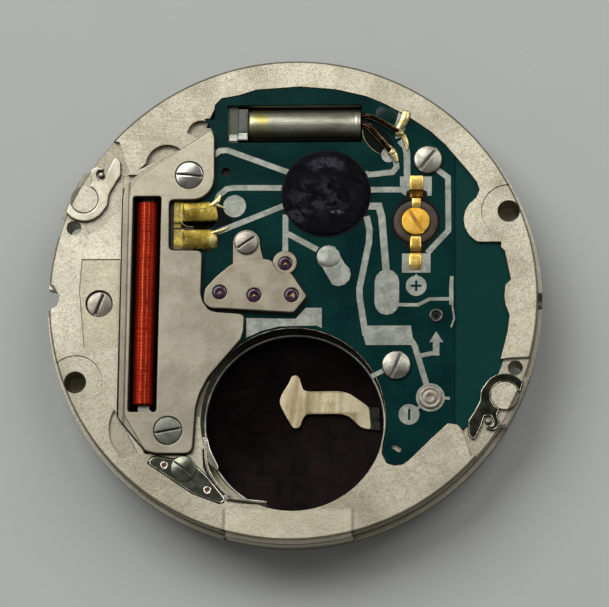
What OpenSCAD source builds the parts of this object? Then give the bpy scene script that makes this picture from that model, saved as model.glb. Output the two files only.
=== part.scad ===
// Quartz watch movement, circuit side up. The dial seat is the plane z = 0,
// the hands' axis is the Z axis, and the winding stem enters along +X.

/* [Main plate] */
// Diameter of the body that enters the case
body_d = 25.6; // [25.2:0.1:25.8]
// Width of the casing ledge round the body
ledge_w = 0.25; // [0.2:0.05:0.5]
// Height of the casing ledge above the dial seat
ledge_h = 0.70; // [0.6:0.02:0.74]
// Height of the plate's upper face above the dial seat
plate_h = 2.05; // [2.0:0.01:2.1]
// Floor of the wheel train's chamber
train_floor = 0.95; // [0.93:0.01:0.98]
// Roof of the motion work's chamber on the dial side
motion_roof = 0.60; // [0.58:0.01:0.66]
// How far inside the body's edge the casing screws stand
casing_screw_inset = 0.62; // [0.6:0.02:0.7]
// Direction of the casing screw near the stem, from +X
casing_screw_at = 22; // [21:0.5:23]
// Diameter of each casing screw hole
casing_screw_d = 1.16; // [0.9:0.02:1.2]
// How far inside the body's edge the dial feet stand
dial_foot_inset = 0.58; // [0.54:0.01:0.6]
// Direction of the first dial foot
dial_foot_at = 162; // [161.5:0.25:162.5]
// Diameter of each dial foot hole
dial_foot_d = 0.76; // [0.7:0.02:0.8]

/* [Battery well] */
// Diameter of the button cell that the well takes
cell_d = 9.5; // [9.3:0.1:9.5]
// Clearance round the cell
cell_gap = 0.05; // [0.03:0.01:0.08]
// Distance of the well's axis below the centre
well_y = 6.5; // [6.45:0.05:6.55]
// Height of the well's floor above the dial seat
well_floor = 0.46; // [0.44:0.01:0.5]
// Thickness of the insulating sheet on the floor
insulator_t = 0.05; // [0.03:0.01:0.08]
// Thickness of the negative contact strip
contact_t = 0.08; // [0.06:0.01:0.12]

/* [Circuit board] */
// Thickness of the board
board_t = 0.20; // [0.16:0.01:0.24]
// How far the board's face lies below the plate's face
board_sink = 0.03; // [0.02:0.01:0.05]
// How far the right part of the board steps down
board_step = 0.16; // [0.15:0.01:0.17]
// Clearance round the board in its recess
board_gap = 0.04; // [0.03:0.01:0.06]
// Thickness of the tinned tracks
track_t = 0.03; // [0.02:0.01:0.04]
// Width of a track
track_w = 0.30; // [0.24:0.02:0.34]
// Diameter of the resin dome over the chip
chip_d = 4.64; // [4.4:0.04:4.8]
// Height of the resin dome above the board
chip_h = 0.48; // [0.36:0.02:0.5]
// Diameter of the crystal can
can_d = 1.86; // [1.8:0.02:1.9]
// Length of the crystal can
can_l = 5.96; // [5.9:0.02:6]
// Outer diameter of the trimmer's ring
trimmer_d = 2.32; // [2.2:0.04:2.4]
// Diameter of the trimmer's slotted disc
trimmer_disc_d = 1.50; // [1.3:0.05:1.55]

/* [Coil and cover] */
// Outer diameter of the winding
coil_d = 1.06; // [1:0.02:1.1]
// Length of the winding
coil_l = 11.0; // [10.8:0.1:11.1]
// Distance of the coil's axis left of the centre
coil_x = 7.70; // [7.66:0.02:7.74]
// Thickness of the coil's core
core_t = 0.36; // [0.3:0.02:0.4]
// Width of the coil's core
core_w = 0.62; // [0.56:0.02:0.66]
// Thickness of the coil cover
cover_t = 0.30; // [0.24:0.02:0.34]
// Space between the board and the coil cover
cover_lift = 0.05; // [0.04:0.01:0.08]
// Width of the window over the coil
window_w = 1.50; // [1.44:0.02:1.56]
// Length of the window over the coil
window_l = 11.54; // [11.5:0.02:11.6]
// Head diameter of the coil cover's screws
cover_screw_d = 1.44; // [1.3:0.02:1.5]

/* [Bridge and train] */
// Thickness of the raised part of the train bridge
bridge_t = 0.42; // [0.4:0.02:0.46]
// Height of the bridge's face above the board
bridge_rise = 0.36; // [0.32:0.02:0.4]
// Diameter of each jewel
jewel_d = 0.72; // [0.66:0.02:0.74]
// Thickness of each jewel
jewel_t = 0.18; // [0.14:0.01:0.2]
// Distance from the intermediate wheel to the rotor
rotor_a = 1.81; // [1.8:0.005:1.82]
// Distance from the centre to the intermediate wheel
inter_x = 1.97; // [1.96:0.005:1.98]
// Radius from the centre to the third wheel
third_r = 1.78; // [1.77:0.005:1.79]
// Direction of the third wheel from the centre
third_at = 102; // [101:0.5:103]
// Diameter of the rotor's magnet
magnet_d = 1.10; // [1:0.05:1.2]
// Air gap round the magnet
air_gap = 0.25; // [0.2:0.01:0.3]
// Thickness of a wheel's disc
wheel_t = 0.10; // [0.08:0.01:0.11]
// Thickness of the stator
stator_t = 0.25; // [0.2:0.01:0.28]

/* [Hand seats] */
// Diameter of the hour hand's seat
hour_seat_d = 1.50; // [1.4:0.05:1.5]
// Diameter of the minute hand's seat
minute_seat_d = 0.90; // [0.86:0.01:0.9]
// Diameter of the seconds hand's seat
second_seat_d = 0.20; // [0.18:0.01:0.22]
// Length of the hour seat below the dial seat
hour_reach = 1.07; // [0.9:0.01:1.1]
// Length of the minute seat below the dial seat
minute_reach = 1.52; // [1.4:0.01:1.6]
// Length of the seconds seat below the dial seat
second_reach = 1.87; // [1.75:0.01:2]
// Running clearance between a pipe and what turns in it
pipe_gap = 0.03; // [0.02:0.005:0.04]

/* [Motion work and date] */
// Distance between the cannon pinion and the minute wheel
motion_a = 2.40; // [2.38:0.01:2.42]
// Direction of the minute wheel from the centre
minute_at = 25; // [22:1:28]
// Teeth of the date ring, one a day
date_teeth = 31; // [31:1:31]
// Inner radius of the date ring, at its teeth
date_in_r = 9.10; // [9.08:0.01:9.14]
// Width of the date ring
date_ring_w = 2.64; // [2.5:0.02:2.66]
// Thickness of the date ring
date_ring_t = 0.14; // [0.12:0.01:0.15]
// Thickness of the plate that holds the date ring
date_cover_t = 0.10; // [0.08:0.01:0.11]
// How far the plate that holds the date ring laps over it
date_lap = 0.50; // [0.45:0.05:0.6]
// How far inside the date ring the driving wheel's axis lies
drive_reach = 2.10; // [2.08:0.01:2.12]
// Direction of the date driving wheel from the centre
date_drive_at = 120; // [118:1:122]

/* [Setting work] */
// Height of the stem's axis above the dial seat
stem_z = 0.80; // [0.78:0.01:0.82]
// Diameter of the stem's bore
stem_d = 0.90; // [0.86:0.02:0.92]
// Distance of the sliding pinion's inner face from the centre
pinion_x = 7.00; // [6.98:0.02:7.1]
// Length of the sliding pinion
pinion_l = 1.30; // [1.2:0.05:1.3]
// Thickness of the setting lever and the yoke
lever_t = 0.14; // [0.12:0.01:0.14]

/* [Hidden] */
$fn = 64;

eps = 0.01;
skin = 0.02;
seat_gap = 0.01;

// Every layout below is drawn for a body of 25.6 and grows with it by lay
lay = body_d / 25.6;
plate_r = body_d / 2;
ledge_r = plate_r + ledge_w;
casing_screw_r = plate_r - casing_screw_inset;
dial_foot_r = plate_r - dial_foot_inset;
coil_side = coil_x * lay;
coil_len = coil_l * lay;
can_len = can_l * lay;
window_len = window_l * lay;
pinion_at = pinion_x * lay;
rotor_gap = rotor_a * lay;
inter_r = inter_x * lay;
third_gap = third_r * lay;
motion_gap = motion_a * lay;
ring_in_r = date_in_r * lay;
ring_out_r = ring_in_r + date_ring_w * lay;
date_cover_r = ring_in_r + date_lap;
date_drive_r = ring_in_r - drive_reach * lay;
board_top = plate_h - board_sink;
board_low = board_top - board_t;
low_top = board_top - board_step;
low_t = board_t - 0.02;
cover_low = board_top + cover_lift;
cover_top = cover_low + cover_t;
bridge_top = board_top + bridge_rise;
bridge_low = bridge_top - bridge_t;
well_c = lay * [0.13, -well_y];
well_r = cell_d / 2 + cell_gap;
jewel_top = bridge_top - 0.05;
lobe_top = board_top + 0.12;
foot_jewel_top = train_floor - 0.02;
coil_z = train_floor + 0.13 + stator_t + core_t / 2;

// Wheel train: teeth counts, modules and the planes the wheels turn in
rotor_n = 8;
inter_n = 80;
inter_pinion_n = 20;
second_n = 60;
second_pinion_n = 6;
third_n = 72;
third_pinion_n = 12;
centre_n = 60;
cannon_n = 12;
minute_n = 36;
minute_pinion_n = 10;
hour_n = 40;
setting_n = 24;
date_pinion_n = 24;
idler_n = 66;
drive_n = 48;
centre_z = train_floor + 0.05;
third_z = centre_z + wheel_t + 0.10;
second_z = third_z + wheel_t + 0.12;
inter_z = second_z + wheel_t + 0.10;
magnet_z = train_floor + 0.05;
magnet_t = 0.40;
stator_z = train_floor + 0.13;
rotor_at = 175;
inter_c = [-inter_r, 0];
rotor_c = inter_c + rotor_gap * [cos(rotor_at), sin(rotor_at)];
third_c = third_gap * [cos(third_at), sin(third_at)];
minute_c = motion_gap * [cos(minute_at), sin(minute_at)];
rotor_m = 2 * rotor_gap / (rotor_n + inter_n);
inter_m = 2 * inter_r / (inter_pinion_n + second_n);
second_m = 2 * third_gap / (second_pinion_n + third_n);
third_m = 2 * third_gap / (third_pinion_n + centre_n);
cannon_m = 2 * motion_gap / (cannon_n + minute_n);
hour_m = 2 * motion_gap / (minute_pinion_n + hour_n);
cannon_r = minute_seat_d / 2 + 0.02;
hour_bore_r = cannon_r + pipe_gap;
arbor_r = second_seat_d / 2 + 0.02;
cannon_bore_r = arbor_r + pipe_gap;
hour_seat_top = -0.10;
minute_seat_top = -hour_reach - 0.03;
second_seat_top = -minute_reach - 0.02;
post_r = 0.14;

// Dial side planes, counted up from the dial seat: date train, hour wheel, minute wheel
date_m = date_drive_r * 3 / 280;
date_z = date_cover_t + 0.02;
date_groove = date_z + date_ring_t + 0.03;
date_wheel_z = date_z + 0.01;
hour_z = date_wheel_z + 0.12;
minute_z = hour_z + 0.15;
idler_r = date_m * (date_pinion_n + idler_n) / 2;
drive_gap = date_m * (idler_n + drive_n) / 2;
idler_turn = acos((idler_r * idler_r + date_drive_r * date_drive_r - drive_gap * drive_gap)
    / (2 * idler_r * date_drive_r));
idler_at = date_drive_at + idler_turn;
idler_c = idler_r * [cos(idler_at), sin(idler_at)];
drive_c = date_drive_r * [cos(date_drive_at), sin(date_drive_at)];
drive_from_idler = atan2(drive_c[1] - idler_c[1], drive_c[0] - idler_c[0]);
beak_at = 202.2;
beak_c = (ring_in_r + 0.14) * [cos(beak_at), sin(beak_at)];
jumper_c = beak_c + [0.955, 2.291];
date_screws = lay * [[6.2, 3.2], [-6.7, 3.0], [6.1, -2.6], [-5.9, -1.9]];

// Setting work
setting_at = -9;
setting_c = minute_c + (minute_n + setting_n) * cannon_m / 2 * [cos(setting_at), sin(setting_at)];
pinion_n = 16;
pinion_m = 0.064;
pinion_r = pinion_m * (pinion_n / 2 + 0.8);
stem_end = 5.9 * lay;
guide_x = 10.6 * lay;
pilot_r = 0.28;
lever_z = stem_z + 0.72;
lever_c = lay * [9.9, 2.0];
lever_pin_c = lay * [9.50, -0.10];
yoke_c = lay * [6.4, 2.3];
yoke_z = lever_z - 0.03;
spring_c = lay * [7.60, -1.90];

// Places of the screws and small parts, read off the movement's circuit side
cover_screw_c = lay * [[-5.50, 6.49], [-6.33, -7.17]];
circuit_screw_c = lay * [[7.07, 7.33], [5.47, -3.68]];
bridge_screw_c = lay * [-2.43, 2.86];
clamp_screw_c = lay * [-5.49, -9.13];
rim_screw_c = lay * [-10.15, -0.35];
trimmer_c = lay * [6.44, 3.97];
chip_c = lay * [1.72, 5.53];
can_x = -2.43 * lay;
can_y = 9.37 * lay;
can_z = board_top - 0.57;
foot_c = [for (a = [dial_foot_at, dial_foot_at + 180]) dial_foot_r * [cos(a), sin(a)]];
casing_c = [for (a = [casing_screw_at, casing_screw_at + 180])
    casing_screw_r * [cos(a), sin(a)]];
boss_r = 0.72;
boss_reach = boss_r + 0.46;
boss_c = foot_c[0] + (boss_reach + dial_foot_d / 2 + 0.03) * [cos(70), sin(70)];
clamp_t = 0.18;
clamp_z = low_top + 0.02;
stop_pin_c = boss_c + [0.86, 1.34];

// Points of an arc about c, from angle a to angle b, n steps
function arc(c, r, a, b, n = 8) = [for (i = [0:n]) let (t = a + (b - a) * i / n)
    [c[0] + r * cos(t), c[1] + r * sin(t)]];
function unit(v) = v / norm(v);
function side(v) = [-v[1], v[0]];
function sum(v, i = 0) = i < len(v) ? v[i] + sum(v, i + 1) : 0;
function winding(p) = sign(sum([for (i = [0:len(p) - 1]) let (q = p[(i + 1) % len(p)])
    p[i][0] * q[1] - p[i][1] * q[0]]));

// Offset at a corner between directions u and v, d to the left of both
function mitre(u, v, d) = let (n = unit(side(u) + side(v))) n * d / max(0.5, n * side(u));

// The outline p moved outwards by d on every side
function grow(p, d) = let (s = winding(p), n = len(p)) [for (i = [0:n - 1])
    p[i] + mitre(unit(p[i] - p[(i + n - 1) % n]), unit(p[(i + 1) % n] - p[i]), -s * d)];

// The two sides of a strip of width w along the open line p
function ribbon(p, w) = let (n = len(p) - 1, d = [for (i = [0:n - 1]) unit(p[i + 1] - p[i])],
    off = [for (i = [0:n]) mitre(d[max(0, i - 1)], d[min(n - 1, i)], w / 2)])
    concat([for (i = [0:n]) p[i] + off[i]], [for (i = [n:-1:0]) p[i] - off[i]]);

// Turn of wheel b so that its gaps meet the teeth of wheel a, b lying in direction at from a
function mesh(turn_a, n_a, n_b, at) = at + 180 + 180 / n_b - (turn_a - at) * n_a / n_b;

// Outline of a spur wheel: flat-topped teeth that narrow from root to tip
function gear_points(n, m, turn = 0) = [for (i = [0:n - 1]) for (k = [[-0.34, -1.05], [-0.14, 0.8],
    [0.14, 0.8], [0.34, -1.05]]) let (r = n * m / 2 + k[1] * m, a = 360 / n * (i + k[0]) + turn)
    [r * cos(a), r * sin(a)]];

// Outline of the board, clockwise from its upper left corner; one corner is the screw's scallop
scallop_c = [10.30, 4.10];
board_outline = concat(
    lay * [[-4.72, 9.62], [-4.25, 9.62], [-4.20, 10.40], [-3.88, 10.74], [-2.93, 10.91], [-2.05, 11.20],
     [0.27, 11.36], [2.16, 11.19], [3.75, 10.81], [4.77, 10.37], [6.04, 9.65], [7.17, 8.86],
     [7.95, 8.13], [8.47, 7.50], [9.12, 6.73], [9.60, 6.11], [9.73, 5.69]],
    arc(scallop_c, 1.40, 122, 275, 8),
    lay * [[10.78, 2.66], [11.05, 2.40], [11.21, 1.65], [11.36, 0.90], [11.08, 0.60], [11.02, 0.02],
     [11.08, -0.47], [11.29, -1.00], [11.20, -1.82], [10.86, -3.18], [10.50, -4.20],
     [9.95, -5.40], [9.37, -6.45], [8.95, -7.02], [8.64, -6.75], [8.14, -6.67], [7.23, -7.53],
     [6.10, -8.65], [5.78, -8.85], [5.40, -8.90], [5.02, -8.78], [4.78, -8.30]],
    arc(well_c, well_r + 0.08, -14, 149, 18),
    lay * [[-5.20, -3.60], [-5.20, 2.40], [-4.30, 2.40], [-4.30, 8.90]]);

fold_x = 8.43 * lay;

// Outline of the train bridge's raised part, and the lower lobes it stands over
bridge_outline = concat(
    arc(lay * [-4.06, -0.14], 0.56, 190, 265, 4), lay * [[-3.60, -0.71], [0.12, -0.94], [0.80, -0.08]],
    lay * [[-0.06, 1.20]], arc(lay * [-0.40, 1.78], 0.60, -82, -172, 5), lay * [[-1.10, 1.87]],
    lay * [[-1.50, 1.96], [-1.97, 1.98], [-2.54, 1.90], [-3.23, 1.64], [-4.02, 0.96], [-4.55, 0.34]]);

// The bridge's foot under the board, and the height it rests at
bridge_foot_outline = lay * [[0.30, -0.62], [0.80, -0.75], [2.60, -1.10], [2.95, 0.30], [2.20, 1.40],
    [0.75, 0.60], [0.40, 0.10]];
foot_low = second_z + wheel_t + 0.10;
pillar_r = 0.46;

cover_outline = lay * [[-4.38, 8.94], [-4.22, 8.58], [-4.18, 6.30], [-4.26, 5.88], [-4.49, 5.52],
    [-4.80, 5.28], [-5.14, 5.18], [-6.36, 5.16], [-6.50, 5.08], [-6.54, 4.90], [-6.50, 2.62],
    [-6.44, 2.48], [-6.30, 2.42], [-4.98, 2.40], [-4.82, 2.34], [-4.75, 2.18], [-4.78, 0.10],
    [-4.68, -0.30], [-4.36, -0.76], [-3.98, -0.90], [-2.72, -0.99], [-2.54, -1.06],
    [-2.47, -1.20], [-2.50, -1.90], [-2.62, -2.34], [-3.60, -3.50], [-4.30, -4.36],
    [-4.72, -5.20], [-4.92, -5.95], [-5.04, -8.08], [-5.16, -8.28], [-5.36, -8.36], [-6.90, -8.36],
    [-7.48, -8.22], [-8.95, -6.50], [-9.00, 5.30], [-8.92, 5.86], [-8.42, 6.44]];
cover_step = 0.34;
// Number of points of cover_outline up to its left side, which is pressed down
cover_left = len(cover_outline) - 4;
cover_high_outline = [for (i = [0:len(cover_outline) - 1]) cover_outline[i]
    + (i >= cover_left ? [cover_step, i == cover_left ? 0.12 : -0.06] : [0, 0])];
bay_outline = lay * [[-8.80, -6.30], [-7.40, -8.05], [-5.25, -8.05], [-5.15, -6.20], [-4.85, -4.30],
    [-3.62, -2.66], [-2.75, -1.60], [-2.75, -0.90], [-2.90, 1.90], [-4.60, 3.20], [-4.70, 8.55],
    [-8.20, 6.15], [-8.80, 5.40]];
battery_clamp_outline = lay * [[-7.34, -8.84], [-7.18, -8.56], [-6.90, -8.46], [-6.05, -8.63],
    [-5.41, -8.46], [-4.25, -9.56], [-3.34, -10.66], [-3.40, -10.86], [-3.62, -10.91], [-5.04, -10.38]];
contact_outline = concat(lay * [[-0.70, -5.40], [-0.58, -4.95], [-0.20, -4.35]],
    arc(lay * [0.12, -4.20], 0.26, 150, 20, 4), lay * [[0.55, -4.72], [0.80, -4.80], [2.52, -4.79],
    [3.00, -4.92], [4.02, -5.62], [4.13, -6.84], [3.60, -6.72], [2.95, -6.12], [2.52, -6.01],
    [0.78, -6.01], [0.58, -6.20]], arc(lay * [0.20, -6.50], 0.27, -20, -140, 4), lay * [[-0.45, -5.92]]);
clamp_outline = concat([[1.66, 2.30], [1.86, 2.02], [1.88, 1.32], [1.58, 0.86], [1.28, 0.28],
    [1.22, -0.30]], arc([0, 0], boss_reach, -28, -140, 10), [[-0.94, -0.76], [-0.80, -0.24]],
    arc([0, 0], boss_r + 0.03, 196, 428, 14), [[0.42, 0.98], [0.30, 1.40], [0.34, 1.66],
    [0.62, 1.80], [0.92, 1.74], [0.96, 1.58], [0.66, 1.60], [0.56, 1.38], [0.70, 1.04],
    [1.06, 1.04], [1.20, 1.50], [1.50, 2.18]]);

module prism(p, z0, z1) { translate([0, 0, z0]) linear_extrude(z1 - z0) polygon(p); }
module disc(c, r, z0, z1) { translate([c[0], c[1], z0]) cylinder(r = r, h = z1 - z0); }
module ring(c, r_out, r_in, z0, z1) {
    difference() {
        disc(c, r_out, z0, z1);
        disc(c, r_in, z0 - eps, z1 + eps);
    }
}
module block(a, b, z0, z1) {
    translate([min(a[0], b[0]), min(a[1], b[1]), z0])
        cube([abs(b[0] - a[0]), abs(b[1] - a[1]), z1 - z0]);
}

// A pipe's outside on the hands' axis, widening from r0 to r1
module taper(r0, r1, z0, z1) { translate([0, 0, z0]) cylinder(r1 = r0, r2 = r1, h = z1 - z0); }

// A slotted screw: head from z upwards, shank below it
module screw(c, head_d, head_t, shank_d, shank_l, z, slot_at, slot_w = 0.16) {
    translate([c[0], c[1], z]) difference() {
        union() {
            cylinder(d = head_d, h = head_t);
            translate([0, 0, -shank_l]) cylinder(d = shank_d, h = shank_l + eps);
        }
        rotate(slot_at) translate([-head_d, -slot_w / 2, head_t * 0.55])
            cube([2 * head_d, slot_w, head_t]);
    }
}

// A toothed disc about c with a round bore
module wheel(c, n, m, z, t, bore_r, turn = 0) {
    difference() {
        translate([c[0], c[1], 0]) prism(gear_points(n, m, turn), z, z + t);
        disc(c, bore_r, z - eps, z + t + eps);
    }
}

// An arbor with a shoulder and a fine pivot at each end
module arbor(c, r, z0, z1, pivot_z0, pivot_z1) {
    disc(c, r, z0, z1);
    disc(c, 0.05, pivot_z0, pivot_z1);
}

module sector(r, half, z0, z1) {
    prism(concat([[0, 0]], arc([0, 0], r, -90 - half, -90 + half, 12)), z0, z1);
}

module plate_blank() {
    disc([0, 0], ledge_r, 0, ledge_h);
    disc([0, 0], plate_r, ledge_h - eps, plate_h);
    intersection() {
        ring([0, 0], ledge_r - seat_gap, plate_r - 1.4, ledge_h - eps, plate_h - skin);
        sector(ledge_r + 1, 14.6, 0, plate_h);
    }
    intersection() {
        ring([0, 0], ledge_r - seat_gap, plate_r - 1.4, ledge_h - eps, clamp_z - 0.05);
        for (a = [0, 180]) rotate(a) disc(boss_c, 1.5, 0, plate_h);
    }
}

module upper_pockets() {
    top = plate_h + 1;
    difference() {
        prism(grow(board_outline, board_gap), board_low - seat_gap, top);
        disc(bridge_screw_c, 0.70, 0, bridge_low);
    }
    intersection() {
        prism(grow(board_outline, board_gap), low_top - low_t - seat_gap, top);
        block([fold_x - 0.1, -20], [20, 20], 0, top);
    }
    prism(grow(bridge_foot_outline, 0.04), foot_low - seat_gap, top);
    disc(well_c, well_r, well_floor, top);
    difference() {
        prism(bay_outline, train_floor, top);
        for (c = cover_screw_c) {
            disc(c, 0.78, 0, stator_z);
            disc(c, pillar_r, 0, cover_low);
        }
    }
    difference() {
        union() {
            block(lay * [-9.05, 6.6], lay * [-4.2, -6.4], board_low - seat_gap, top);
            prism(grow(cover_outline, 0.06), board_top, top);
        }
        for (c = cover_screw_c) disc(c, pillar_r, 0, cover_low);
    }
    disc([0, 0], second_n * inter_m / 2 + 0.11, train_floor, top);
    disc(inter_c, inter_n * rotor_m / 2 + 0.20, train_floor, top);
    disc(third_c, third_n * second_m / 2 + 0.20, train_floor, top);
    disc(rotor_c, magnet_d / 2 + air_gap + 0.1, train_floor, top);
    block([can_x - 1.15, can_y - 1.03], [can_x + can_len + 0.05, can_y + 1.03], can_z + 0.3, top);
    block([can_x - 0.03, can_y - 1.0], [can_x + can_len + 0.03, can_y + 1.0],
        can_z - can_d / 2 - 0.02, top);
    disc(trimmer_c, trimmer_d / 2 + 0.1, board_low - 0.35, top);
    prism(grow(battery_clamp_outline, 0.05), plate_h - 0.2, top);
    prism(lay * [[-4.54, -8.1], [-4.48, -9.05], [-3.97, -10.00], [-3.22, -10.82], [-2.56, -10.92],
        [-1.0, -11.04], [-1.0, -10.4], [-2.4, -9.8], [-3.6, -8.1]], 1.15, top);
}

module rim_pockets() {
    top = plate_h + 1;
    for (c = casing_c) disc(c, 1.42, plate_h - 0.30, top);
    prism(lay * [[-11.12, 2.02], [-9.1, 2.02], [-9.1, -2.76], [-10.86, -2.76], [-11.2, 0.3]],
        plate_h - 0.08, top);
    disc(rim_screw_c, 0.72, plate_h - 0.45, top);
    for (a = [0, 180]) rotate(a) {
        prism(lay * [[-9.30, 8.40], [-8.98, 7.42], [-8.74, 6.80], [-8.90, 6.30], [-9.14, 5.70],
            [-9.14, 4.66],
            [-9.62, 4.30], [-10.10, 3.70], [-10.70, 3.36], [-11.35, 3.28], [-12.9, 3.2], [-12.9, 6.0],
            [-10.6, 8.6]], clamp_z - 0.05, top);
    }
    prism(concat(arc(lay * [-7.50, -7.0], 1.95, 150, 235, 8), lay * [[-7.9, -8.3], [-8.9, -6.5]]),
        plate_h - 0.16, top);
    prism(concat(arc(lay * [-6.75, 7.15], 1.10, 45, 175, 8), lay * [[-8.2, 6.9]]), plate_h - 0.30, top);
    prism(concat(arc(lay * [-4.95, 8.85], 0.72, 20, 150, 6), lay * [[-5.7, 8.9], [-4.9, 8.5]]),
        plate_h - 0.30, top);
    prism(lay * [[-4.70, 9.25], [-4.22, 10.28], [-4.1, 9.2]], 1.0, top);
    prism(lay * [[-13.3, 0.75], [-12.60, 0.63], [-12.24, 0.05], [-12.36, -0.48], [-13.3, -1.0]], -1, top);
}

module setting_pockets() {
    block(lay * [6.35, -1.35], lay * [10.9, 2.9], lever_z - 0.08, plate_h);
    block([pinion_at - 0.7, -pinion_r - 0.08], [8.85 * lay, pinion_r + 0.08],
        stem_z - pinion_r - 0.05, plate_h);
    block(lay * [9.0, -0.45], lay * [10.35, 0.45], 0.60, plate_h);
    block([8.8 * lay, -stem_d / 2 - seat_gap], [guide_x + eps, stem_d / 2 + seat_gap],
        stem_z - stem_d / 2 - seat_gap, stem_z + stem_d / 2 + seat_gap);
    block(lay * [5.20, 1.0], lay * [8.0, 3.0], lever_z - 0.08, plate_h);
    block(lay * [5.50, -2.4], lay * [10.4, -1.2], lever_z - 0.08, plate_h);
}

module lower_pockets() {
    low = -1;
    ring([0, 0], ring_out_r + 0.08, ring_in_r - 0.12, low, date_groove);
    disc([0, 0], date_cover_r + 0.05, low, date_cover_t);
    disc([0, 0], hour_n * hour_m / 2 + 0.20, low, minute_z - 0.03);
    disc([0, 0], 0.85, low, motion_roof);
    disc(minute_c, minute_n * cannon_m / 2 + 0.20, low, motion_roof);
    disc(setting_c, setting_n * cannon_m / 2 + 0.20, low, motion_roof);
    disc(idler_c, idler_n * date_m / 2 + 0.20, low, date_groove + 0.02);
    disc(drive_c, drive_n * date_m / 2 + 0.56, low, date_groove + 0.02);
    translate([jumper_c[0], jumper_c[1], 0]) prism([[-0.3, 0.5], [0.7, 0.4], [0.5, -1.6],
        [-0.5, -3.8], [-1.6, -3.4], [-1.0, -1.0]], low, date_groove);
}

module plate_bosses() {
    disc(minute_c, post_r, hour_z - 0.04, motion_roof + eps);
    disc(setting_c, post_r, minute_z - 0.02, motion_roof + eps);
    for (c = [idler_c, drive_c, jumper_c]) disc(c, post_r, date_z, date_groove + 0.05);
    for (c = [lever_c, yoke_c, spring_c]) disc(c, post_r, lever_z - 0.09, lever_z + lever_t);
    for (a = [0, 180]) rotate(a) disc(boss_c, boss_r, clamp_z - 0.1, clamp_z + clamp_t + 0.02);
}

module plate_bores() {
    low = -1;
    high = plate_h + 1;
    disc([0, 0], cannon_r + 0.02, low, high);
    for (c = casing_c) disc(c, casing_screw_d / 2, date_groove + 0.16, high);
    for (c = foot_c) disc(c, dial_foot_d / 2, low, high);
    for (c = [rotor_c, inter_c, third_c]) {
        disc(c, jewel_d / 2 + 0.005, foot_jewel_top - jewel_t, high);
        disc(c, 0.12, train_floor - 0.35, high);
    }
    translate([guide_x, 0, stem_z]) rotate([0, 90, 0]) cylinder(d = stem_d, h = ledge_r);
    translate([stem_end, 0, stem_z]) rotate([0, 90, 0]) cylinder(r = pilot_r, h = 1);
    for (c = date_screws) disc(c, 0.22, low, 0.70);
    for (c = cover_screw_c) disc(c, 0.32, 0.75, high);
    for (c = circuit_screw_c) disc(c, 0.32, 1.1, high);
    disc(bridge_screw_c, 0.32, 1.0, high);
    disc(clamp_screw_c, 0.32, 1.0, high);
    disc(rim_screw_c, 0.32, 0.9, high);
    disc(lay * [-7.41, -8.15], 0.2, 0.5, high);
    for (a = [0, 180]) rotate(a) disc(stop_pin_c, 0.12, 1.2, high);
    for (c = battery_clamp_holes) disc(c, 0.14, 1.2, high);
}
battery_clamp_holes = lay * [[-6.51, -8.95], [-4.24, -10.24]];

module main_plate() {
    color([0.80, 0.78, 0.71]) difference() {
        union() {
            difference() {
                plate_blank();
                upper_pockets();
                rim_pockets();
                setting_pockets();
                lower_pockets();
            }
            plate_bosses();
        }
        plate_bores();
    }
}

module circuit_board() {
    color([0.02, 0.24, 0.22]) difference() {
        union() {
            intersection() {
                prism(board_outline, board_low, board_top);
                block(lay * [-20, -20], [fold_x, 20], 0, 5);
            }
            intersection() {
                prism(board_outline, low_top - low_t, low_top);
                block([fold_x - 0.05, -20], [20, 20], 0, 5);
            }
        }
        prism(grow(bridge_outline, 0.06), 0, 5);
        disc(lay * [-0.40, 1.78], 0.66, 0, 5);
        prism(lay * [[-3.20, 1.5], [-3.12, 3.0], [-1.72, 3.0], [-1.40, 1.5]], 0, 5);
        disc(bridge_screw_c, 0.72, 0, 5);
        block([can_x - 1.15, can_y - 1.03], [can_x + can_len + 0.05, can_y + 1.03], 0, 5);
        disc(trimmer_c, trimmer_d / 2 + 0.1, 0, 5);
        for (c = circuit_screw_c) disc(c, 0.36, 0, 5);
        disc(lay * [-3.60, 6.72], 0.25, 0, 5);
        translate(lay * [5.50, -8.01, 0]) rotate(-30) block(lay * [-0.26, -0.13], lay * [0.26, 0.13], 0, 5);
    }
}

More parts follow.
